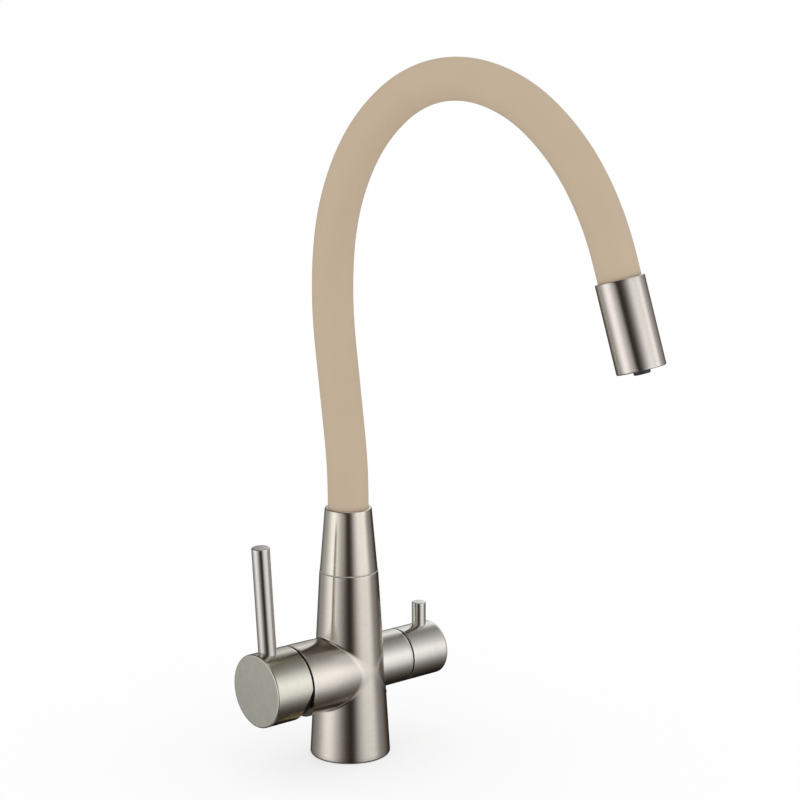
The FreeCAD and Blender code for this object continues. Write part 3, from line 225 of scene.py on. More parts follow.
junction_low = HANDLE_HEIGHT - MIXER_RADIUS - JUNCTION_MARGIN
junction_high = HANDLE_HEIGHT + MIXER_RADIUS + JUNCTION_MARGIN
wall_heights = rows(WALL_FOOT, junction_low, COARSE)
wall_heights += rows(junction_low, junction_high, FINE)[1:]
wall_heights += rows(junction_high, COLUMN_HEIGHT - RIM_MARGIN, COARSE)[1:]
column = turned(
    "faucet_body_casting",
    [
        (0, shank_high.z),
        (SHANK_THREAD, shank_high.z),
        (SHANK_THREAD, 0),
        (GASKET_INNER, 0),
        (GASKET_INNER, gasket_high.z),
        (gasket_high.y, gasket_high.z),
        (gasket_high.y, 0),
        (BASE_RADIUS, 0, BASE_ROUND),
        *[(column_radius(z), z) for z in wall_heights],
        (NECK_RADIUS, COLUMN_HEIGHT, TOP_ROUND),
        (NIPPLE_THREAD, COLUMN_HEIGHT),
        (NIPPLE_THREAD, COLUMN_HEIGHT - SOCKET_DEPTH),
        (0, COLUMN_HEIGHT - SOCKET_DEPTH),
    ],
    segments=AROUND,
)

# Near the column the mixer boss is dressed down, so that it dies into the column's front.
DRESSED_FROM = -6 * MM
DRESSED_TO = 30 * MM
DRESSED_BY = 1.65 * MM


def mixer_boss_radius(reach):
    """The mixer boss's radius at a distance from the column's axis."""
    share = np.clip((reach - DRESSED_FROM) / (DRESSED_TO - DRESSED_FROM), 0, 1)
    return MIXER_RADIUS - DRESSED_BY * (1 - share * share * (3 - 2 * share))


def filter_boss_radius(reach):
    """The filter boss's radius, which is the same at every distance."""
    return FILTER_RADIUS + 0 * reach


def boss(name, radius_at, start, fine_to, reach, side):
    """A boss with rings close enough together to be blended into the column."""
    places = rows(start, fine_to, FINE) + rows(fine_to, reach - RIM_MARGIN, COARSE)[1:]
    side_rows = [(float(radius_at(z)), z) for z in places]
    radius = float(radius_at(reach))
    profile = [(0, start), *side_rows, (radius, reach, GAP_ROUND), (0, reach)]
    return turned(name, profile, handle_centre, side, AROUND)


MIXER_BOSS_START = -2 * MM
FILTER_BOSS_START = 6 * MM
JUNCTION_REACH = 27 * MM
mixer_boss = boss(
    "mixer_boss", mixer_boss_radius, MIXER_BOSS_START, JUNCTION_REACH, MIXER_REACH, MIXER_SIDE
)
filter_boss_end = FILTER_REACH - GAP_PARTING
filter_boss = boss(
    "filter_boss", filter_boss_radius, FILTER_BOSS_START, JUNCTION_REACH, filter_boss_end, FILTER_SIDE
)
casting = combined(column, [mixer_boss, filter_boss], "UNION")

# The mixer boss is cut away at a slant below, so that the cap has room to tilt.
RELIEF_DROP = 7 * MM
RELIEF_ANGLE = math.radians(20.5)
relief_top = HANDLE_HEIGHT - RELIEF_DROP
relief_bottom = HANDLE_HEIGHT - MIXER_RADIUS - MM
relief_back = (relief_top - relief_bottom) * math.tan(RELIEF_ANGLE)
relief = block(
    "boss_relief",
    [
        (-MIXER_REACH, relief_top),
        (-MIXER_REACH + relief_back, relief_bottom),
        (-MIXER_REACH - MM, relief_bottom),
        (-MIXER_REACH - MM, relief_top),
    ],
    BASE_RADIUS,
)
mixer_cavity = rod(
    "mixer_cavity", MIXER_CAVITY, MIXER_CAVITY_FLOOR, PAST_BOSSES, handle_centre, MIXER_SIDE
)
filter_cavity = rod(
    "filter_cavity", FILTER_CAVITY, FILTER_CAVITY_FLOOR, PAST_BOSSES, handle_centre, FILTER_SIDE
)

# The three water inlets are threaded holes in the body's underside.
INLET_THREAD = 4.5 * MM
INLET_DEPTH = 12 * MM
inlets = []
for mount in frame["record"]["mounts"]:
    if mount["name"].endswith("_inlet"):
        x, y, _ = mount["pos_m"]
        low = shank_high.z - MM
        inlets.append(rod("inlet", INLET_THREAD, low, low + MM + INLET_DEPTH, Vector((x, y, 0))))
casting = combined(casting, [relief, mixer_cavity, filter_cavity, *inlets], "DIFFERENCE")

# The corners between the column and its bosses are softened: the skin near them is moved
# onto a form in which the walls run into each other, a millimetre or so wide at the mixer
# and almost crisp at the filter.
MIXER_BLEND = 1.3 * MM
FILTER_BLEND = 0.25 * MM
SKIN_TOLERANCE = 0.03 * MM
LEFT_AT_MIXER_END = 8 * MM
LEFT_AT_FILTER_END = 5 * MM
LEFT_AT_FOOT = 8 * MM
LEFT_AT_TOP = 3 * MM
LEAST_MOVE = 1e-9
LEAST_LENGTH = 0.001
MOVING_ROUNDS = 8


def column_field(places):
    """Distance outside the column's wall, and the way straight out of it."""
    x, y, z = places.T
    slope = (NECK_RADIUS - BASE_RADIUS) / COLUMN_HEIGHT
    tilt = math.sqrt(1 + slope * slope)
    out = np.maximum(np.hypot(x, y), OFF_AXIS)
    away = (out - BASE_RADIUS - slope * z) / tilt
    return away, np.stack([x / out, y / out, np.full(len(places), -slope)], 1) / tilt


def boss_field(places, radius_at, side):
    """Distance outside a boss's wall, and the way straight out of it."""
    x, y, z = places.T
    step = 0.01 * MM
    reach = side * x
    slope = (radius_at(reach + step) - radius_at(reach - step)) / (2 * step)
    tilt = np.sqrt(1 + slope * slope)
    rise = z - HANDLE_HEIGHT
    out = np.maximum(np.hypot(y, rise), OFF_AXIS)
    away = (out - radius_at(reach)) / tilt
    return away, np.stack([-side * slope, y / out, rise / out], 1) / tilt[:, None]


def blended(first, second, width):
    """Two walls as one, with a soft curve of about the width in their corner."""
    share = np.clip(0.5 + 0.5 * (second[0] - first[0]) / width, 0, 1)
    away = second[0] + (first[0] - second[0]) * share - width * share * (1 - share)
    return away, second[1] + (first[1] - second[1]) * share[:, None]


def casting_field(places):
    """Distance outside the column and both bosses, taken as one blended form."""
    mixer = boss_field(places, mixer_boss_radius, -1)
    column_and_mixer = blended(column_field(places), mixer, MIXER_BLEND)
    return blended(column_and_mixer, boss_field(places, filter_boss_radius, 1), FILTER_BLEND)


def blend_bosses(piece):
    """Moves the skin near each corner onto the blended form, and shades it as one skin."""
    mesh = piece.data
    places = np.zeros(len(mesh.vertices) * 3)
    mesh.vertices.foreach_get("co", places)
    places = places.reshape(-1, 3)
    column_away, _ = column_field(places)
    mixer_away, _ = boss_field(places, mixer_boss_radius, -1)
    filter_away, _ = boss_field(places, filter_boss_radius, 1)
    away, _ = casting_field(places)
    nearest = np.minimum(column_away, np.minimum(mixer_away, filter_away))
    on_skin = np.abs(nearest) < SKIN_TOLERANCE
    on_skin &= places[:, 0] > -MIXER_REACH + LEFT_AT_MIXER_END
    on_skin &= places[:, 0] < FILTER_REACH - LEFT_AT_FILTER_END
    on_skin &= (places[:, 2] > LEFT_AT_FOOT) & (places[:, 2] < COLUMN_HEIGHT - LEFT_AT_TOP)
    chosen = on_skin & (away < nearest - LEAST_MOVE)
    moved = places[chosen]
    for _ in range(MOVING_ROUNDS):
        away, normal = casting_field(moved)
        moved = moved - normal * (away / (normal ** 2).sum(1))[:, None]
    places[chosen] = moved
    mesh.vertices.foreach_set("co", places.ravel())
    mesh.update()

    _, normals = casting_field(places)
    normals /= np.maximum(np.linalg.norm(normals, axis=1), LEAST_LENGTH)[:, None]
    corner = np.zeros(len(mesh.loops), np.int32)
    mesh.loops.foreach_get("vertex_index", corner)
    kept = np.array([list(n.vector) for n in mesh.corner_normals])
    use = on_skin[corner]
    kept[use] = normals[corner[use]]
    mesh.normals_split_custom_set(kept.tolist())


blend_bosses(casting)
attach(casting, "column")
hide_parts("faucet_body")


def new_material(name):
    """A new material, its node tree and its Principled shader."""
    material = bpy.data.materials.new(name)
    material.use_nodes = True
    return material, material.node_tree, material.node_tree.nodes["Principled BSDF"]


def noise(tree, place, scale, detail):
    """A noise over the surface, read from a place on the piece."""
    node = tree.nodes.new("ShaderNodeTexNoise")
    node.inputs["Scale"].default_value = scale
    node.inputs["Detail"].default_value = detail
    tree.links.new(place, node.inputs["Vector"])
    return node


def calculate(tree, operation, *values):
    """One step of arithmetic on values that change over the surface, or on fixed ones."""
    node = tree.nodes.new("ShaderNodeMath")
    node.operation = operation
    for index, value in enumerate(values):
        if isinstance(value, (int, float)):
            node.inputs[index].default_value = value
        else:
            tree.links.new(value, node.inputs[index])
    return node.outputs["Value"]


def tinted(tree, factor, first, second):
    """A colour between two fixed ones, by a factor that changes over the surface."""
    node = tree.nodes.new("ShaderNodeMix")
    node.data_type = "RGBA"
    node.inputs["A"].default_value = first
    node.inputs["B"].default_value = second
    tree.links.new(factor, node.inputs["Factor"])
    return node.outputs["Result"]


def fine_relief(tree, shader, height, strength, distance):
    """Fine bumps from a height that changes over the surface."""
    node = tree.nodes.new("ShaderNodeBump")
    node.inputs["Strength"].default_value = strength
    node.inputs["Distance"].default_value = distance
    tree.links.new(height, node.inputs["Height"])
    tree.links.new(node.outputs["Normal"], shader.inputs["Normal"])


LINE_SHARE = 0.65
CLOUD_SHARE = 0.35
CLOUD_SCALE = 38


def grain_group():
    """Fine brush lines, a noise drawn out along the way that the belt ran, and faint clouds."""
    group = bpy.data.node_groups.new("brush_grain", "ShaderNodeTree")
    face = group.interface
    face.new_socket("Stretch", in_out="INPUT", socket_type="NodeSocketVector")
    face.new_socket("Rough Low", in_out="INPUT", socket_type="NodeSocketFloat")
    face.new_socket("Rough High", in_out="INPUT", socket_type="NodeSocketFloat")
    face.new_socket("Dark", in_out="INPUT", socket_type="NodeSocketColor")
    face.new_socket("Light", in_out="INPUT", socket_type="NodeSocketColor")
    face.new_socket("Color", in_out="OUTPUT", socket_type="NodeSocketColor")
    face.new_socket("Roughness", in_out="OUTPUT", socket_type="NodeSocketFloat")
    face.new_socket("Height", in_out="OUTPUT", socket_type="NodeSocketFloat")
    nodes = group.nodes
    links = group.links
    given = nodes.new("NodeGroupInput")
    result = nodes.new("NodeGroupOutput")
    place = nodes.new("ShaderNodeTexCoord")
    mapping = nodes.new("ShaderNodeMapping")
    links.new(place.outputs["Object"], mapping.inputs["Vector"])
    links.new(given.outputs["Stretch"], mapping.inputs["Scale"])
    lines = noise(group, mapping.outputs["Vector"], scale=1, detail=5)
    lines.inputs["Roughness"].default_value = 0.62
    clouds = noise(group, place.outputs["Object"], CLOUD_SCALE, detail=2)
    soft = calculate(group, "MULTIPLY", clouds.outputs["Fac"], CLOUD_SHARE)
    both = calculate(group, "MULTIPLY_ADD", lines.outputs["Fac"], LINE_SHARE, soft)
    rough = nodes.new("ShaderNodeMapRange")
    rough.inputs["From Min"].default_value = 0.3
    rough.inputs["From Max"].default_value = 0.7
    links.new(both, rough.inputs["Value"])
    links.new(given.outputs["Rough Low"], rough.inputs["To Min"])
    links.new(given.outputs["Rough High"], rough.inputs["To Max"])
    tone = nodes.new("ShaderNodeMix")
    tone.data_type = "RGBA"
    fade = nodes.new("ShaderNodeMapRange")
    fade.inputs["From Min"].default_value = 0.37
    fade.inputs["From Max"].default_value = 0.63
    links.new(both, fade.inputs["Value"])
    links.new(fade.outputs["Result"], tone.inputs["Factor"])
    links.new(given.outputs["Dark"], tone.inputs["A"])
    links.new(given.outputs["Light"], tone.inputs["B"])
    links.new(tone.outputs["Result"], result.inputs["Color"])
    links.new(rough.outputs["Result"], result.inputs["Roughness"])
    links.new(lines.outputs["Fac"], result.inputs["Height"])
    return group


brush_grain = grain_group()
NICKEL_DARK = (0.70, 0.642, 0.576, 1)
NICKEL_LIGHT = (0.76, 0.702, 0.634, 1)
ACROSS = 1600
ALONG = 220
BRUSHED_LOW = 0.17
BRUSHED_HIGH = 0.22
BRUSHED_SPREAD = 0.55
TANGENT_OFFSET = 0.03


def brush_scale(axis):
    """Close spacing along the axis that the piece was turned on, wide spacing round it."""
    return tuple(ALONG + (ACROSS - ALONG) * abs(share) for share in axis)


def brushed(
    name,
    axis,
    dark=NICKEL_DARK,
    light=NICKEL_LIGHT,
    low=BRUSHED_LOW,
    high=BRUSHED_HIGH,
    drawn=BRUSHED_SPREAD,
):
    """Metal brushed round an axis; the tangent lies near it, a little off for the flat ends."""
    material, tree, shader = new_material(name)
    grain = tree.nodes.new("ShaderNodeGroup")
    grain.node_tree = brush_grain
    grain.inputs["Stretch"].default_value = brush_scale(axis)
    grain.inputs["Rough Low"].default_value = low
    grain.inputs["Rough High"].default_value = high
    grain.inputs["Dark"].default_value = dark
    grain.inputs["Light"].default_value = light
    fine_relief(tree, shader, grain.outputs["Height"], strength=0.015, distance=0.1 * MM)
    tree.links.new(grain.outputs["Color"], shader.inputs["Base Color"])
    tree.links.new(grain.outputs["Roughness"], shader.inputs["Roughness"])
    spread = tree.nodes.new("ShaderNodeCombineXYZ")
    for index, value in enumerate(axis):
        spread.inputs[index].default_value = value + TANGENT_OFFSET * (index + 1)
    turned_with = tree.nodes.new("ShaderNodeVectorTransform")
    turned_with.vector_type = "VECTOR"
    turned_with.convert_from = "OBJECT"
    turned_with.convert_to = "WORLD"
    tree.links.new(spread.outputs["Vector"], turned_with.inputs["Vector"])
    tree.links.new(turned_with.outputs["Vector"], shader.inputs["Tangent"])
    shader.inputs["Anisotropic"].default_value = drawn
    shader.inputs["Metallic"].default_value = 1.0
    return material


# The column is brushed round its own axis, the bosses round theirs, each with its tint.
# The mixer boss's nickel is the column's painted lighter, a painted highlight for the
# brighter light on it; the filter boss takes the knob's nickel, greyer and painted lighter too.
nickel_upright = brushed("nickel_brushed_round_the_column", UP)
BOSS_DARK = (0.75, 0.70, 0.635, 1)
BOSS_LIGHT = (0.81, 0.76, 0.695, 1)
nickel_sideways_painted_lighter = brushed("nickel_round_the_bosses_painted_lighter", FILTER_SIDE, BOSS_DARK, BOSS_LIGHT)
# The knob's nickel is greyer than the column's, and lighter as a painted highlight.
KNOB_DARK = (0.733, 0.708, 0.665, 1)
KNOB_LIGHT = (0.793, 0.768, 0.725, 1)
nickel_knob_painted_lighter = brushed("nickel_of_the_knob_painted_lighter", FILTER_SIDE, KNOB_DARK, KNOB_LIGHT)


def coat(piece, material):
    """Gives the whole piece one finish."""
    piece.data.materials.clear()
    piece.data.materials.append(material)


# Each face takes the finish of the wall that it lies on, by the number of its material:
# the column's first, then the mixer boss's, then the filter boss's.
coat(casting, nickel_upright)
casting.data.materials.append(nickel_sideways_painted_lighter)
casting.data.materials.append(nickel_knob_painted_lighter)
middles = np.zeros(len(casting.data.polygons) * 3)
casting.data.polygons.foreach_get("center", middles)
middles = middles.reshape(-1, 3)
on_mixer_boss = boss_field(middles, mixer_boss_radius, -1)[0] < column_field(middles)[0]
on_mixer_boss &= middles[:, 0] < 0
on_filter_boss = boss_field(middles, filter_boss_radius, 1)[0] < column_field(middles)[0]
on_filter_boss &= middles[:, 0] > 0
finish_used = on_mixer_boss * 1 + on_filter_boss * 2
casting.data.polygons.foreach_set("material_index", finish_used.astype(np.int32))
casting.data.update()

# Base gasket and the fixing below the worktop. A flat rubber ring lies in a groove of
# the base. A hollow threaded brass shank is screwed into the body, and a rubber washer,
# a steel washer and a notched brass nut on it clamp the worktop.

BLOOM_SCALE = 900
BLOOM_PALER = 2.2


def moulded(name, colour, roughness):
    """Moulded rubber or plastic: an even colour, a faint bloom and a very fine texture."""
    material, tree, shader = new_material(name)
    place = tree.nodes.new("ShaderNodeTexCoord")
    bloom = noise(tree, place.outputs["Object"], BLOOM_SCALE, detail=3)
    paler = tuple(min(1, c * BLOOM_PALER) for c in colour[:3]) + (1,)
    tint = tinted(tree, bloom.outputs["Fac"], colour, paler)
    tree.links.new(tint, shader.inputs["Base Color"])
    shader.inputs["Roughness"].default_value = roughness
    fine_relief(tree, shader, bloom.outputs["Fac"], strength=0.15, distance=0.1 * MM)
    return material


black_rubber = moulded("black_rubber", (0.022, 0.022, 0.023, 1), 0.62)
BRASS_DARK = (0.52, 0.36, 0.14, 1)
BRASS_LIGHT = (0.70, 0.53, 0.26, 1)
STEEL_DARK = (0.52, 0.52, 0.53, 1)
STEEL_LIGHT = (0.68, 0.68, 0.69, 1)
brass_upright = brushed("turned_brass", UP, BRASS_DARK, BRASS_LIGHT, low=0.25, high=0.35)
brass_sideways = brushed(
    "turned_brass_handles", FILTER_SIDE, BRASS_DARK, BRASS_LIGHT, low=0.25, high=0.35
)
steel_plain = brushed("stainless_steel", UP, STEEL_DARK, STEEL_LIGHT, low=0.22, high=0.32)

for name in ("base_gasket", "rubber_washer"):
    coat(frame["nodes"][name], black_rubber)
coat(frame["nodes"]["steel_washer"], steel_plain)
coat(frame["nodes"]["shank_nut"], brass_upright)

# The shank's thread has flat crests and roots and runs out at both ends.
SHANK_BORE = 15 * MM
THREAD_PITCH = 2 * MM
THREAD_DEPTH = 0.9 * MM
THREAD_ROWS = 8
THREAD_FADE = 1.5 * MM
THREAD_FLANK = 1.4
THREAD_CREST = 0.2
SHANK_SIDES = 128
shank_radius = shank_high.y


def thread_radius(angle, height):
    """The shank's radius on its helical thread, plain at both ends."""
    phase = (height / THREAD_PITCH - angle / math.tau) % 1
    groove = min(1, max(0, THREAD_FLANK * abs(2 * phase - 1) - THREAD_CREST))
    fade = min(1, (height - shank_low.z) / THREAD_FADE, -height / THREAD_FADE)
    return shank_radius - THREAD_DEPTH * groove * max(0, fade)


work = bmesh.new()
angles = [math.tau * number / SHANK_SIDES for number in range(SHANK_SIDES)]
profile = [(SHANK_BORE, shank_high.z), (SHANK_BORE, shank_low.z)]
profile += [(None, z) for z in rows(shank_low.z, 0, THREAD_PITCH / THREAD_ROWS)]
profile += [(SHANK_THREAD, 0), (SHANK_THREAD, shank_high.z)]
rings = []
for radius, height in profile:
    ring = []
    for angle in angles:
        here = thread_radius(angle, height) if radius is None else radius
        ring.append(work.verts.new((here * math.cos(angle), here * math.sin(angle), height)))
    rings.append(ring)
skin(work, rings + rings[:1])
shank = made_from(work, "threaded_shank")
coat(shank, brass_upright)
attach(shank, "column")
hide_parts("mounting_shank")

# Inner pieces of the two valves and of the swivel. They are moulded plastic, lapped
# ceramic, turned brass and rubber, and show only where a gap lets the eye in.

white_plastic = moulded("white_plastic", (0.42, 0.42, 0.39, 1), 0.45)
dark_plastic = moulded("dark_plastic", (0.02, 0.02, 0.021, 1), 0.4)
ceramic = moulded("lapped_ceramic", (0.4, 0.39, 0.37, 1), 0.25)
water_tube = moulded("water_tube", (0.35, 0.36, 0.35, 1), 0.5)

# A node that a piece of its own stands for gets a finish here too, which doesn't show.
FINISHES = {
    "black_rubber": black_rubber,
    "white_plastic": white_plastic,
    "dark_plastic": dark_plastic,
    "ceramic": ceramic,
    "water_tube": water_tube,
    "brass": brass_sideways,
    "stainless_steel": steel_plain,
    "brushed_nickel": nickel_sideways_painted_lighter,
    "silicone": black_rubber,
}
finished_above = ("base_gasket", "rubber_washer", "steel_washer", "shank_nut")
for entry in frame["record"]["subparts"]:
    if entry["node"] not in finished_above:
        coat(frame["nodes"][entry["node"]], FINISHES[entry["material_slot"]])

# Mixer nut. A moulded ring nut with a round nose, in dark plastic, holds the cartridge
# down; its nose shows in the gap between the boss and the tilting cap. Its near-black
# colour and weak reflection are painted shade, standing for the shadow in that gap.

DOME_RADIUS = 20.6 * MM
NUT_BORE = 14.7 * MM
NUT_SHOULDER = 36 * MM
NUT_FIT = 0.02 * MM
DOME_STEPS = 12
nut_low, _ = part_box("mixer_nut")
nut_end = -nut_low.x
dome = []
for step in range(DOME_STEPS + 1):
    height = MIXER_REACH + (nut_end - MIXER_REACH) * step / DOME_STEPS
    dome.append((math.sqrt(DOME_RADIUS ** 2 - (height - MIXER_REACH) ** 2), height))
mixer_nut = turned(
    "mixer_ring_nut",
    [
        (NUT_BORE, NUT_SHOULDER),
        (MIXER_CAVITY - NUT_FIT, NUT_SHOULDER),
        (MIXER_CAVITY - NUT_FIT, MIXER_REACH),
        *dome,
        (NUT_BORE, nut_end),
    ],
    handle_centre,
    MIXER_SIDE,
)
# Painted shade: near black and barely reflecting, for the shadow in the gap.
nut_painted_shade = moulded("dark_plastic_painted_shade", (0.006, 0.005, 0.004, 1), 0.8)
nut_painted_shade.node_tree.nodes["Principled BSDF"].inputs["Specular IOR Level"].default_value = 0.1
coat(mixer_nut, nut_painted_shade)
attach(mixer_nut, "column")
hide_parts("mixer_nut")

# Mixer cap. A thick turned brass cap, bored out to clear the nut and bevelled across
# its lower rim, brushed and nickel plated like the body. A grub screw under a small
# plug fixes it on the cartridge's stem.

CAP_EDGE = 0.8 * MM
CAP_BORE = 21 * MM
CAP_BORE_DEPTH = 10.95 * MM
CAP_RELIEF_DEPTH = 4.45 * MM
CAP_RELIEF_RISE = 2.1 * MM
CAP_RELIEF_DROP = 8.6 * MM
PLUG_RADIUS = 3.2 * MM
PLUG_DEPTH = 2.5 * MM
PLUG_PLACE = 62.3 * MM
CAP_PARTING = 0.3 * MM
WALL_PITCH = 4 * MM
cap_start = CAP_PARTING - cap_high.x
cap_end = -cap_low.x
cap_rows = rows(cap_start + CLOSE_MARGIN, cap_end - CLOSE_MARGIN, WALL_PITCH)
mixer_cap = turned(
    "mixer_handle_cap",
    [
        (0, CAP_BORE_DEPTH - cap_high.x),
        (CAP_BORE, CAP_BORE_DEPTH - cap_high.x),
        (CAP_BORE, cap_start, GAP_ROUND),
        (MIXER_RADIUS, cap_start, GAP_ROUND),
        *[(MIXER_RADIUS, z) for z in cap_rows],
        (MIXER_RADIUS, cap_end, CAP_EDGE),
        (MIXER_RADIUS - CLOSE_MARGIN, cap_end),
        (0, cap_end),
    ],
    handle_centre,
    MIXER_SIDE,
)
cap_relief = block(
    "cap_relief",
    [
        (cap_high.x, HANDLE_HEIGHT + CAP_RELIEF_RISE),
        (cap_high.x - CAP_RELIEF_DEPTH, HANDLE_HEIGHT - CAP_RELIEF_DROP),
        (cap_high.x - CAP_RELIEF_DEPTH, relief_bottom),
        (cap_high.x + MM, relief_bottom),
        (cap_high.x + MM, HANDLE_HEIGHT + CAP_RELIEF_RISE),
    ],
    BASE_RADIUS,
)
plug_at = Vector((-PLUG_PLACE, 0, HANDLE_HEIGHT))
plug_seat = rod(
    "plug_seat", PLUG_RADIUS, MIXER_RADIUS - PLUG_DEPTH, MIXER_RADIUS + MM, plug_at, -UP
)
mixer_cap = combined(mixer_cap, [cap_relief, plug_seat], "DIFFERENCE")
HANDLE_DARK = (0.68, 0.665, 0.575, 1)
HANDLE_LIGHT = (0.74, 0.725, 0.632, 1)
nickel_handles = brushed("nickel_of_the_handles", FILTER_SIDE, HANDLE_DARK, HANDLE_LIGHT)
coat(mixer_cap, nickel_handles)
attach(mixer_cap, "mixer_handle")
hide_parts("mixer_cap")

# Mixer lever. A straight rod of brushed nickel-plated brass, screwed into the cap and
# leaning out a little, with its top turned flat and its rim rounded over.

LEVER_RADIUS = 5.5 * MM
LEVER_PLACE = 63.3 * MM
LEVER_LEAN = math.radians(3.45)
LEVER_ROUND = 0.7 * MM
LEVER_SINK = 1.6 * MM
_, lever_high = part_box("mixer_lever")
lever_foot = Vector((-LEVER_PLACE, 0, HANDLE_HEIGHT + MIXER_RADIUS))
lever_way = Vector((-math.sin(LEVER_LEAN), 0, math.cos(LEVER_LEAN)))
lever_length = (lever_high.z - LEVER_RADIUS * math.sin(LEVER_LEAN) - lever_foot.z) / lever_way.z
mixer_lever = turned(
    "mixer_lever_rod",
    [
        (0, -LEVER_SINK),
        (LEVER_RADIUS, -LEVER_SINK),
        (LEVER_RADIUS, RIM_MARGIN),
        (LEVER_RADIUS, lever_length - RIM_MARGIN),
        (LEVER_RADIUS, lever_length, LEVER_ROUND),
        (0, lever_length),
    ],
    lever_foot,
    lever_way,
    segments=96,
)
# The rods' nickel is the column's painted lighter, a painted highlight for the brighter light on
# them.
LEVER_DARK = (0.740, 0.728, 0.688, 1)
LEVER_LIGHT = (0.805, 0.792, 0.752, 1)
nickel_rods_painted_lighter = brushed("nickel_of_the_rods_painted_lighter", UP, LEVER_DARK, LEVER_LIGHT)
coat(mixer_lever, nickel_rods_painted_lighter)
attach(mixer_lever, "mixer_handle")
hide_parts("mixer_lever")

# Filtered-water knob and its pin. The knob is a turned cap on the valve's spindle, and
# the short pin is screwed into it. Both are brushed and plated.

KNOB_EDGE = 1.0 * MM
KNOB_BORE = 14.8 * MM
KNOB_BORE_DEPTH = 10.2 * MM
KNOB_PARTING = 0.35 * MM
GRUB_HOLE_RADIUS = 2 * MM
GRUB_HOLE_FROM = 8 * MM
GRUB_HOLE_PLACE = 53 * MM
knob_start = knob_low.x + KNOB_PARTING
knob_end = knob_high.x
knob_rows = rows(knob_start + CLOSE_MARGIN, knob_end - RIM_MARGIN, WALL_PITCH)
filter_knob = turned(
    "filtered_water_knob",
    [
        (0, knob_start + KNOB_BORE_DEPTH),
        (KNOB_BORE, knob_start + KNOB_BORE_DEPTH),
        (KNOB_BORE, knob_start),
        (FILTER_RADIUS, knob_start, GAP_ROUND),
        *[(FILTER_RADIUS, z) for z in knob_rows],
        (FILTER_RADIUS, knob_end, KNOB_EDGE),
        (FILTER_RADIUS - RIM_MARGIN, knob_end),
        (0, knob_end),
    ],
    handle_centre,
    FILTER_SIDE,
)
grub_hole_at = Vector((GRUB_HOLE_PLACE, 0, HANDLE_HEIGHT))
grub_hole_end = FILTER_RADIUS + MM
grub_hole = rod(
    "grub_hole", GRUB_HOLE_RADIUS, GRUB_HOLE_FROM, grub_hole_end, grub_hole_at, -UP, segments=48
)
filter_knob = combined(filter_knob, [grub_hole], "DIFFERENCE")
coat(filter_knob, nickel_knob_painted_lighter)
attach(filter_knob, "filter_handle")
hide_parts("filter_knob")

# A steel grub screw with a hexagon socket is seen in the hole under the knob.
SCREW_ROUND = 0.3 * MM
SOCKET_RADIUS = 1.15 * MM
SOCKET_REACH = 2.2 * MM
HEXAGON = 6
screw_low, screw_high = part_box("filter_grub_screw")
screw_radius = screw_high.y
screw_at = Vector(((screw_low.x + screw_high.x) / 2, 0, 0))
grub_screw = turned(
    "knob_grub_screw",
    [
        (0, screw_low.z),
        (screw_radius, screw_low.z, SCREW_ROUND),
        (screw_radius, screw_high.z),
        (0, screw_high.z),
    ],
    screw_at,
    UP,
    segments=48,
)
socket = rod(
    "socket", SOCKET_RADIUS, screw_low.z - MM, screw_low.z + SOCKET_REACH, screw_at, UP, HEXAGON
)
grub_screw = combined(grub_screw, [socket], "DIFFERENCE")
coat(grub_screw, steel_plain)
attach(grub_screw, "filter_handle")
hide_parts("filter_grub_screw")

# The pin is screwed into the top of the knob.
PIN_RADIUS = 4.4 * MM
PIN_PLACE = 56.7 * MM
PIN_ROUND = 0.6 * MM
PIN_SINK = 1.2 * MM
_, pin_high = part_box("filter_pin")
pin_foot = HANDLE_HEIGHT + FILTER_RADIUS
filter_pin = turned(
    "filtered_water_pin",
    [
        (0, pin_foot - PIN_SINK),
        (PIN_RADIUS, pin_foot - PIN_SINK),
        (PIN_RADIUS, pin_foot + CLOSE_MARGIN),
        (PIN_RADIUS, pin_high.z - CLOSE_MARGIN),
        (PIN_RADIUS, pin_high.z, PIN_ROUND),
        (0, pin_high.z),
    ],
    Vector((PIN_PLACE, 0, 0)),
    UP,
    segments=80,
)
coat(filter_pin, nickel_rods_painted_lighter)
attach(filter_pin, "filter_handle")
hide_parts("filter_pin")

# Spout collar. A tapered ring that carries on the column's line and turns with the
# spout; its lip is rounded in where the hose comes out.

COLLAR_BORE = 12.8 * MM
COLLAR_STEP = 0.3 * MM
COLLAR_FOOT_ROUND = 0.15 * MM
COLLAR_FOOT_HEIGHT = 1.2 * MM
COLLAR_FOOT_TAPER = 0.1 * MM
COLLAR_TOP_RADIUS = 14.3 * MM
COLLAR_TOP_HEIGHT = 3 * MM
COLLAR_TOP_TAPER = 0.3 * MM
COLLAR_LIP = 0.7 * MM
MOUTH_DEPTH = 6 * MM
HOSE_RADIUS = 12.45 * MM
HOSE_CLEARANCE = 0.15 * MM
foot_radius = NECK_RADIUS - COLLAR_STEP
hose_hole = HOSE_RADIUS + HOSE_CLEARANCE
spout_collar = turned(
    "spout_swivel_collar",
    [
        (COLLAR_BORE, collar_low.z),
        (foot_radius, collar_low.z, COLLAR_FOOT_ROUND),
        (foot_radius - COLLAR_FOOT_TAPER, collar_low.z + COLLAR_FOOT_HEIGHT),
        (COLLAR_TOP_RADIUS + COLLAR_TOP_TAPER, collar_high.z - COLLAR_TOP_HEIGHT),
        (COLLAR_TOP_RADIUS, collar_high.z, COLLAR_LIP),
        (hose_hole, collar_high.z),
        (hose_hole, collar_high.z - MOUTH_DEPTH),
        (COLLAR_BORE, collar_high.z - MOUTH_DEPTH),
    ],
)

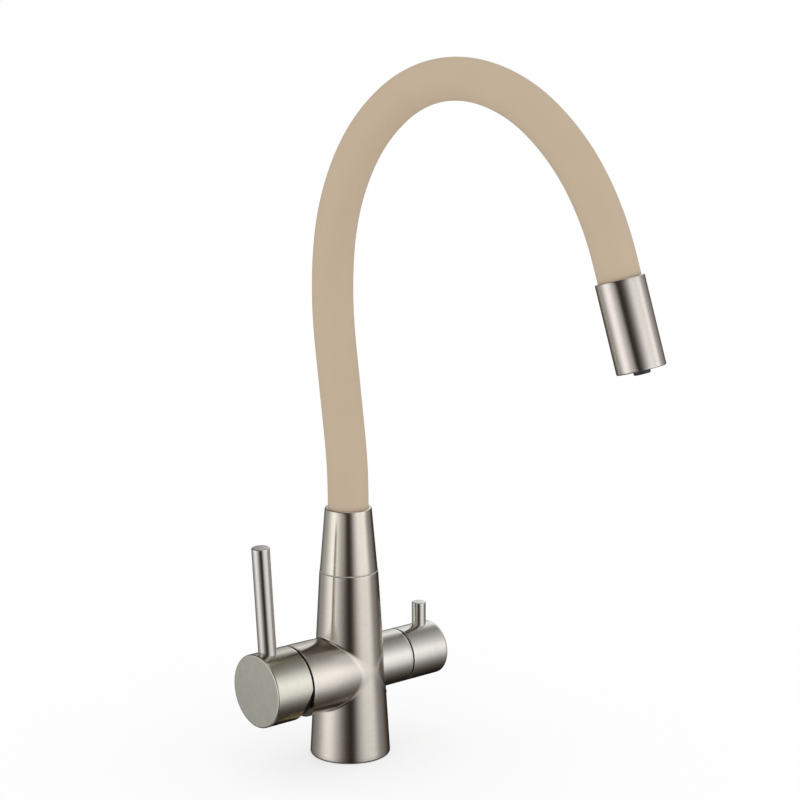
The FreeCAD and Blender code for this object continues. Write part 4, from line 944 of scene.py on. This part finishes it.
# A thin white washer lies in the joint, and shows as a pale line all round: partly a real
# washer, partly a painted highlight standing for the light that the joint's edges catch.
WASHER_BORE = 13 * MM
WASHER_INSET = 0.15 * MM
WASHER_LIFT = 0.01 * MM
washer_radius = NECK_RADIUS - WASHER_INSET
swivel_washer = turned(
    "swivel_washer",
    [
        (WASHER_BORE, COLUMN_HEIGHT + WASHER_LIFT),
        (washer_radius, COLUMN_HEIGHT + WASHER_LIFT),
        (washer_radius, collar_low.z + WASHER_LIFT),
        (WASHER_BORE, collar_low.z + WASHER_LIFT),
    ],
)
coat(swivel_washer, moulded("washer_pale_painted_highlight", (0.34, 0.32, 0.285, 1), 0.5))
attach(swivel_washer, "spout")
# The collar's nickel is the column's painted paler, a painted highlight for the brighter light on it.
COLLAR_DARK = (0.745, 0.69, 0.607, 1)
COLLAR_LIGHT = (0.81, 0.755, 0.668, 1)
nickel_collar_painted_brighter = brushed(
    "nickel_brushed_painted_brighter", UP, COLLAR_DARK, COLLAR_LIGHT, low=0.17, high=0.21, drawn=0.8
)
coat(spout_collar, nickel_collar_painted_brighter)
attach(spout_collar, "spout")
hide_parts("spout_collar")

# Spout hose. A thick tube of matte silicone, extruded, pushed over a barb at each end.
# It stands up from the collar, arches over and drops into the outlet.

SPOUT_HEADING = math.radians(-73)
HOSE_FOOT = 150 * MM
HOSE_FIRST = 15.7 * MM
HOSE_LAST = 18.8 * MM

# Each run of the arch has a length in millimetres, and turns by so many degrees, backwards
# where they are positive and forwards where they are negative.
HOSE_RUNS = (
    (33.7, 6.3),
    (59.2, 0.0),
    (60.3, -12.7),
    (54.9, -21.8),
    (45.2, -25.1),
    (58.2, -48.3),
    (42.9, -27.5),
    (48.6, -20.5),
    (43.7, -14.2),
)
BEND_SPREAD = 16 * MM
FINE_PLACES = 4001
HOSE_STEPS = 320
HOSE_SIDES = 72
spout_way = Vector((math.cos(SPOUT_HEADING), math.sin(SPOUT_HEADING), 0))
spout_side = Vector((-spout_way.y, spout_way.x, 0))


def hose_line():
    """Places and headings along the hose, with the bend changing smoothly along it."""
    lengths = [0, HOSE_FIRST]
    turns = [0, 0]
    for length, turn in HOSE_RUNS:
        lengths.append(lengths[-1] + length * MM)
        turns.append(turns[-1] + math.radians(turn))
    lengths.append(lengths[-1] + HOSE_LAST)
    turns.append(turns[-1])
    fine = np.linspace(0, lengths[-1], FINE_PLACES)
    step = fine[1] - fine[0]
    exact = np.interp(fine, lengths, turns)
    window = int(BEND_SPREAD / step)
    kernel = np.hanning(2 * window + 1)
    kernel /= kernel.sum()
    padded = np.concatenate([np.zeros(window), exact, np.full(window, exact[-1])])
    smooth = np.convolve(padded, kernel, "valid")

    def walk(bend):
        """Places across and up that the headings lead to, one step after the other."""
        heading = math.pi / 2 + bend
        across = (np.cos(heading[1:]) + np.cos(heading[:-1])) / 2
        upwards = (np.sin(heading[1:]) + np.sin(heading[:-1])) / 2
        x = np.concatenate([[0], np.cumsum(across * step)])
        z = np.concatenate([[0], np.cumsum(upwards * step)])
        return x, z + HOSE_FOOT

    true_x, true_z = walk(exact)
    x, z = walk(smooth)
    share = fine / fine[-1]
    share = share * share * (3 - 2 * share)
    x += (true_x[-1] - x[-1]) * share
    z += (true_z[-1] - z[-1]) * share
    chosen = np.linspace(0, len(fine) - 1, HOSE_STEPS + 1).round().astype(int)
    return [(x[i], z[i], math.pi / 2 + smooth[i]) for i in chosen]


hose_stations = hose_line()
work = bmesh.new()
rings = []
for across, height, heading in hose_stations:
    centre = spout_way * across + UP * height
    normal = spout_way * -math.sin(heading) + UP * math.cos(heading)
    ring = []
    for number in range(HOSE_SIDES):
        angle = math.tau * number / HOSE_SIDES
        away = normal * math.cos(angle) + spout_side * math.sin(angle)
        ring.append(work.verts.new(centre + away * HOSE_RADIUS))
    rings.append(ring)
skin(work, rings)
work.faces.new(rings[0][::-1])
work.faces.new(rings[-1])
hose = made_from(work, "silicone_hose")

SILICONE = (0.520, 0.410, 0.291, 1)
SILICONE_DUSTY = (0.565, 0.452, 0.328, 1)
DUST_SCALE = 30
SILICONE_GRAIN = 2600


def silicone(name):
    """Matte silicone: even colour, a little paler where dust clings, very fine grain."""
    material, tree, shader = new_material(name)
    place = tree.nodes.new("ShaderNodeTexCoord")
    dust = noise(tree, place.outputs["Object"], DUST_SCALE, detail=6)
    tint = tinted(tree, dust.outputs["Fac"], SILICONE, SILICONE_DUSTY)
    tree.links.new(tint, shader.inputs["Base Color"])
    grain = noise(tree, place.outputs["Object"], SILICONE_GRAIN, detail=2)
    fine_relief(tree, shader, grain.outputs["Fac"], strength=0.12, distance=0.05 * MM)
    shader.inputs["Roughness"].default_value = 0.7
    shader.inputs["Specular IOR Level"].default_value = 0.25
    return material


coat(hose, silicone("beige_silicone"))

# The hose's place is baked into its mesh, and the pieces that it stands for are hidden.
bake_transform(hose)
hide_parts("hose_sleeve", "mixed_water_tube", "filtered_water_tube")

# Outlet. A thin turned shell, brushed and plated, closes over the hose's end. Inside
# its mouth sits a ring-shaped aerator with a steel mesh, and the filtered water's dark
# nozzle stands out a little at the middle.

OUTLET_RADIUS = 14.25 * MM
OUTLET_LENGTH = 51.7 * MM
OUTLET_WALL = 1.3 * MM
OUTLET_EDGE = 0.45 * MM
OUTLET_LIP = 0.7 * MM
OUTLET_INNER_ROUND = 0.2 * MM
OUTLET_SHOULDER = 1.5 * MM
HOSE_INSERTION = 6.8 * MM
last_across, last_height, last_heading = hose_stations[-1]
outlet_way = spout_way * math.cos(last_heading) + UP * math.sin(last_heading)
outlet_top = spout_way * last_across + UP * last_height - outlet_way * HOSE_INSERTION
outlet_bore = OUTLET_RADIUS - OUTLET_WALL
outlet_shell = turned(
    "outlet_shell_tube",
    [
        (hose_hole, 0, OUTLET_INNER_ROUND),
        (OUTLET_RADIUS, 0, OUTLET_EDGE),
        (OUTLET_RADIUS, RIM_MARGIN),
        (OUTLET_RADIUS, OUTLET_LENGTH - RIM_MARGIN),
        (OUTLET_RADIUS, OUTLET_LENGTH, OUTLET_LIP),
        (outlet_bore, OUTLET_LENGTH, OUTLET_INNER_ROUND),
        (outlet_bore, OUTLET_SHOULDER),
        (hose_hole, OUTLET_SHOULDER),
    ],
    outlet_top,
    outlet_way,
)
OUTLET_DARK = (0.70, 0.642, 0.595, 1)
OUTLET_LIGHT = (0.76, 0.702, 0.655, 1)
nickel_outlet = brushed(
    "nickel_brushed_round_the_outlet", outlet_way, OUTLET_DARK, OUTLET_LIGHT, low=0.13, high=0.17
)
coat(outlet_shell, nickel_outlet)
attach(outlet_shell, "outlet")
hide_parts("outlet_shell")

# The aerator's mesh is woven from fine steel wire.
WIRE_SPACING = 0.55 * MM
MESH_SHADOW = (0.01, 0.01, 0.01, 1)


def woven(name, way):
    """Woven wire: bright where a wire runs either way, dark in the openings."""
    material, tree, shader = new_material(name)
    place = tree.nodes.new("ShaderNodeTexCoord")
    across_way = tree.nodes.new("ShaderNodeMapping")
    across_way.inputs["Rotation"].default_value = way.rotation_difference(UP).to_euler()
    across_way.inputs["Scale"].default_value = (math.pi / WIRE_SPACING,) * 3
    tree.links.new(place.outputs["Object"], across_way.inputs["Vector"])
    parts = tree.nodes.new("ShaderNodeSeparateXYZ")
    tree.links.new(across_way.outputs["Vector"], parts.inputs["Vector"])
    waves = [calculate(tree, "SINE", parts.outputs[index]) for index in range(2)]
    wires = [calculate(tree, "ABSOLUTE", wave) for wave in waves]
    edge = tree.nodes.new("ShaderNodeMapRange")
    edge.inputs["From Min"].default_value = 0.7
    edge.inputs["From Max"].default_value = 0.85
    tree.links.new(calculate(tree, "MAXIMUM", *wires), edge.inputs["Value"])
    tint = tinted(tree, edge.outputs["Result"], MESH_SHADOW, STEEL_LIGHT)
    tree.links.new(tint, shader.inputs["Base Color"])
    shader.inputs["Metallic"].default_value = 1.0
    shader.inputs["Roughness"].default_value = 0.3
    return material


coat(frame["nodes"]["aerator_mesh"], woven("woven_steel_mesh", outlet_way))

# The nozzle is a moulded tube with a rounded end.
NOZZLE_RADIUS = 4.9 * MM
NOZZLE_BORE = 3.2 * MM
NOZZLE_REACHES_IN = 22 * MM
NOZZLE_STANDS_OUT = 2.3 * MM
NOZZLE_ROUND = 0.8 * MM
NOZZLE_MOUTH_ROUND = 0.4 * MM
nozzle_start = OUTLET_LENGTH - NOZZLE_REACHES_IN
nozzle_end = OUTLET_LENGTH + NOZZLE_STANDS_OUT
filtered_nozzle = turned(
    "filtered_water_nozzle",
    [
        (NOZZLE_BORE, nozzle_start),
        (NOZZLE_RADIUS, nozzle_start),
        (NOZZLE_RADIUS, nozzle_end, NOZZLE_ROUND),
        (NOZZLE_BORE, nozzle_end, NOZZLE_MOUTH_ROUND),
    ],
    outlet_top,
    outlet_way,
    segments=80,
)
coat(filtered_nozzle, dark_plastic)
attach(filtered_nozzle, "outlet")
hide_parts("filtered_nozzle")

# Camera. It stands where the photograph was taken from, to the front and the mixer's
# side, a little above the arch and looking down.

CAMERA_PLACE = Vector((-0.8451, -1.0436, 0.4895))
CAMERA_HEADING = math.radians(49.64)
CAMERA_PITCH = math.radians(-11.224)
CAMERA_ROLL = -0.0039
FOCAL_PIXELS = 2262.8
IMAGE_PIXELS = 800
SENSOR = 36.0
camera_data = bpy.data.cameras.new("camera")
camera_data.sensor_width = SENSOR
camera_data.lens = FOCAL_PIXELS * SENSOR / IMAGE_PIXELS
camera_data.clip_start = 0.01
camera_data.clip_end = 200
camera = bpy.data.objects.new("camera", camera_data)
scene.collection.objects.link(camera)
ahead = Vector(
    (
        math.cos(CAMERA_PITCH) * math.cos(CAMERA_HEADING),
        math.cos(CAMERA_PITCH) * math.sin(CAMERA_HEADING),
        math.sin(CAMERA_PITCH),
    )
)
level_right = Vector((math.sin(CAMERA_HEADING), -math.cos(CAMERA_HEADING), 0))
level_up = level_right.cross(ahead)
right = level_right * math.cos(CAMERA_ROLL) + level_up * math.sin(CAMERA_ROLL)
upward = level_up * math.cos(CAMERA_ROLL) - level_right * math.sin(CAMERA_ROLL)
turn = Matrix((right, upward, -ahead)).transposed().to_4x4()
camera.matrix_world = Matrix.Translation(CAMERA_PLACE) @ turn
scene.camera = camera

# Floor. A wide pale sheet that runs out past the picture on every side. It lies a hair
# below the base, which stands on it.

FLOOR_REACH = 60
FLOOR_HEIGHT = -0.05 * MM
work = bmesh.new()
corners = [(-1, -1), (1, -1), (1, 1), (-1, 1)]
work.faces.new([work.verts.new((x * FLOOR_REACH, y * FLOOR_REACH, FLOOR_HEIGHT)) for x, y in corners])
floor = made_from(work, "floor")
FLOOR_COLOUR = (0.985, 0.985, 0.985, 1)
floor_material, floor_tree, floor_shader = new_material("pale_floor")
floor_shader.inputs["Base Color"].default_value = FLOOR_COLOUR
floor_shader.inputs["Roughness"].default_value = 1.0
floor_shader.inputs["Specular IOR Level"].default_value = 0.0

# To the eye the sheet is most of the way to white, and the rest of it keeps the shadow.
# Its glow lights nothing, and reflections show the tent's low cards in its place.
path = floor_tree.nodes.new("ShaderNodeLightPath")
SEEN_WHITE = 0.65
seen = path.outputs["Is Camera Ray"]
for kind in ("Is Glossy Ray", "Is Transmission Ray"):
    more = floor_tree.nodes.new("ShaderNodeMath")
    more.operation = "ADD"
    more.use_clamp = True
    floor_tree.links.new(seen, more.inputs[0])
    floor_tree.links.new(path.outputs[kind], more.inputs[1])
    seen = more.outputs["Value"]
share = calculate(floor_tree, "MULTIPLY", seen, SEEN_WHITE)
white = floor_tree.nodes.new("ShaderNodeEmission")
mixed = floor_tree.nodes.new("ShaderNodeMixShader")
floor_tree.links.new(share, mixed.inputs["Fac"])
floor_tree.links.new(floor_shader.outputs["BSDF"], mixed.inputs[1])
floor_tree.links.new(white.outputs["Emission"], mixed.inputs[2])
floor_tree.links.new(mixed.outputs["Shader"], floor_tree.nodes["Material Output"].inputs["Surface"])
coat(floor, floor_material)
floor.visible_glossy = False

# Studio. An even white light from all round, and a tent of paler and darker cards that
# shows only in reflections, with a dark slot on the camera's side.

world = bpy.data.worlds.new("studio")
scene.world = world
world.use_nodes = True
world.node_tree.nodes["Background"].inputs["Color"].default_value = (1, 1, 1, 1)
world.node_tree.nodes["Background"].inputs["Strength"].default_value = 1.0

TENT_RADIUS = 1.5
work = bmesh.new()
bmesh.ops.create_icosphere(work, subdivisions=4, radius=TENT_RADIUS)
tent = made_from(work, "tent")
tent.visible_camera = False
tent.visible_diffuse = False
tent.visible_shadow = False
tent.visible_transmission = False
tent.visible_volume_scatter = False

to_camera = Vector((CAMERA_PLACE.x, CAMERA_PLACE.y, 0)).normalized()
to_right = Vector((-to_camera.y, to_camera.x, 0))
material = bpy.data.materials.new("tent_cards")
material.use_nodes = True
tree = material.node_tree
tree.nodes.clear()
output = tree.nodes.new("ShaderNodeOutputMaterial")
glow = tree.nodes.new("ShaderNodeEmission")
tree.links.new(glow.outputs["Emission"], output.inputs["Surface"])
place = tree.nodes.new("ShaderNodeTexCoord")
unit = tree.nodes.new("ShaderNodeVectorMath")
unit.operation = "NORMALIZE"
tree.links.new(place.outputs["Object"], unit.inputs[0])


def along(direction):
    """How far the looked-at place lies towards a direction, from -1 to 1."""
    node = tree.nodes.new("ShaderNodeVectorMath")
    node.operation = "DOT_PRODUCT"
    node.inputs[1].default_value = direction
    tree.links.new(unit.outputs["Vector"], node.inputs[0])
    return node.outputs["Value"]


towards = along(to_camera)
sideways = along(to_right)
azimuth = calculate(tree, "ARCTAN2", sideways, towards)
elevation = calculate(tree, "ARCSINE", along(UP))


def squared(value):
    """A value times itself."""
    return calculate(tree, "MULTIPLY", value, value)


def soft_edged(square):
    """Full at nothing, fading out as a squared distance grows past one."""
    return calculate(tree, "EXPONENT", calculate(tree, "MULTIPLY", square, -1))


def card(centre_degrees, width_degrees, rise_degrees, height_degrees, strength):
    """A soft-edged bright card at a bearing from the camera and an angle above level."""
    turn_away = calculate(tree, "SUBTRACT", azimuth, math.radians(centre_degrees))
    wrapped = calculate(tree, "WRAP", turn_away, math.pi, -math.pi)
    across = calculate(tree, "DIVIDE", wrapped, math.radians(width_degrees))
    above = calculate(tree, "SUBTRACT", elevation, math.radians(rise_degrees))
    upwards = calculate(tree, "DIVIDE", above, math.radians(height_degrees))
    distance = calculate(tree, "ADD", squared(across), squared(upwards))
    return calculate(tree, "MULTIPLY", soft_edged(distance), strength)


# Each card's strength is the brightness that it has in the metal, which gives back about
# seven tenths of the light. Its angles are in degrees: bearing, width, rise and height.
METAL_SHARE = 0.70
ROOM_LEVEL = 0.01
ROOM_COLOUR = (1, 0.85, 0.70, 1)
cards = [
    card(-68, 36, -1, 32, 0.85),
    card(48, 28, 11, 42, 0.74),
    card(79, 14, 14, 27, 0.50),
    card(68, 15, -14, 14, 0.16),
    card(105, 29, 22, 44, 0.25),
    card(150, 40, 37, 9, 0.85),
    card(170, 18, 18, 14, 0.65),
    card(-130, 26, -3, 20, 0.20),
    card(0, 360, 90, 16, 0.85),
    card(95, 32, -30, 18, 0.08),
    card(-22, 13, 4, 5, 0.20),
    card(0, 360, -90, 18, 0.50),
]
total = cards[0]
for extra in cards[1:]:
    total = calculate(tree, "ADD", total, extra)

# The dark slot stands upright below the height that it leans from, and leans over above it.
SLOT_CENTRE = math.radians(4)
SLOT_WIDTH = math.radians(12)
SLOT_LEANS_FROM = math.radians(3)
SLOT_LEAN = -1.4
SLOT_DARKNESS = 0.75
slot_height = calculate(tree, "SUBTRACT", elevation, SLOT_LEANS_FROM)
slot_rise = calculate(tree, "SMOOTH_MAX", slot_height, 0, SLOT_LEANS_FROM)
slot_centre = calculate(tree, "MULTIPLY_ADD", slot_rise, SLOT_LEAN, SLOT_CENTRE)
slot_away = calculate(tree, "DIVIDE", calculate(tree, "SUBTRACT", azimuth, slot_centre), SLOT_WIDTH)
slot_dark = calculate(tree, "MULTIPLY", soft_edged(squared(slot_away)), SLOT_DARKNESS)
lit = calculate(tree, "SUBTRACT", 1, slot_dark)
strength = calculate(tree, "DIVIDE", calculate(tree, "MULTIPLY", total, lit), METAL_SHARE)
tree.links.new(calculate(tree, "ADD", strength, ROOM_LEVEL), glow.inputs["Strength"])

# Where no card is bright, what little light there is has a warm tint.
WHITE = (1, 1, 1, 1)
WHITENING = 3.5
light_colour = tinted(tree, calculate(tree, "MULTIPLY", strength, WHITENING), ROOM_COLOUR, WHITE)
tree.links.new(light_colour, glow.inputs["Color"])
coat(tent, material)

scene.view_settings.view_transform = "Standard"
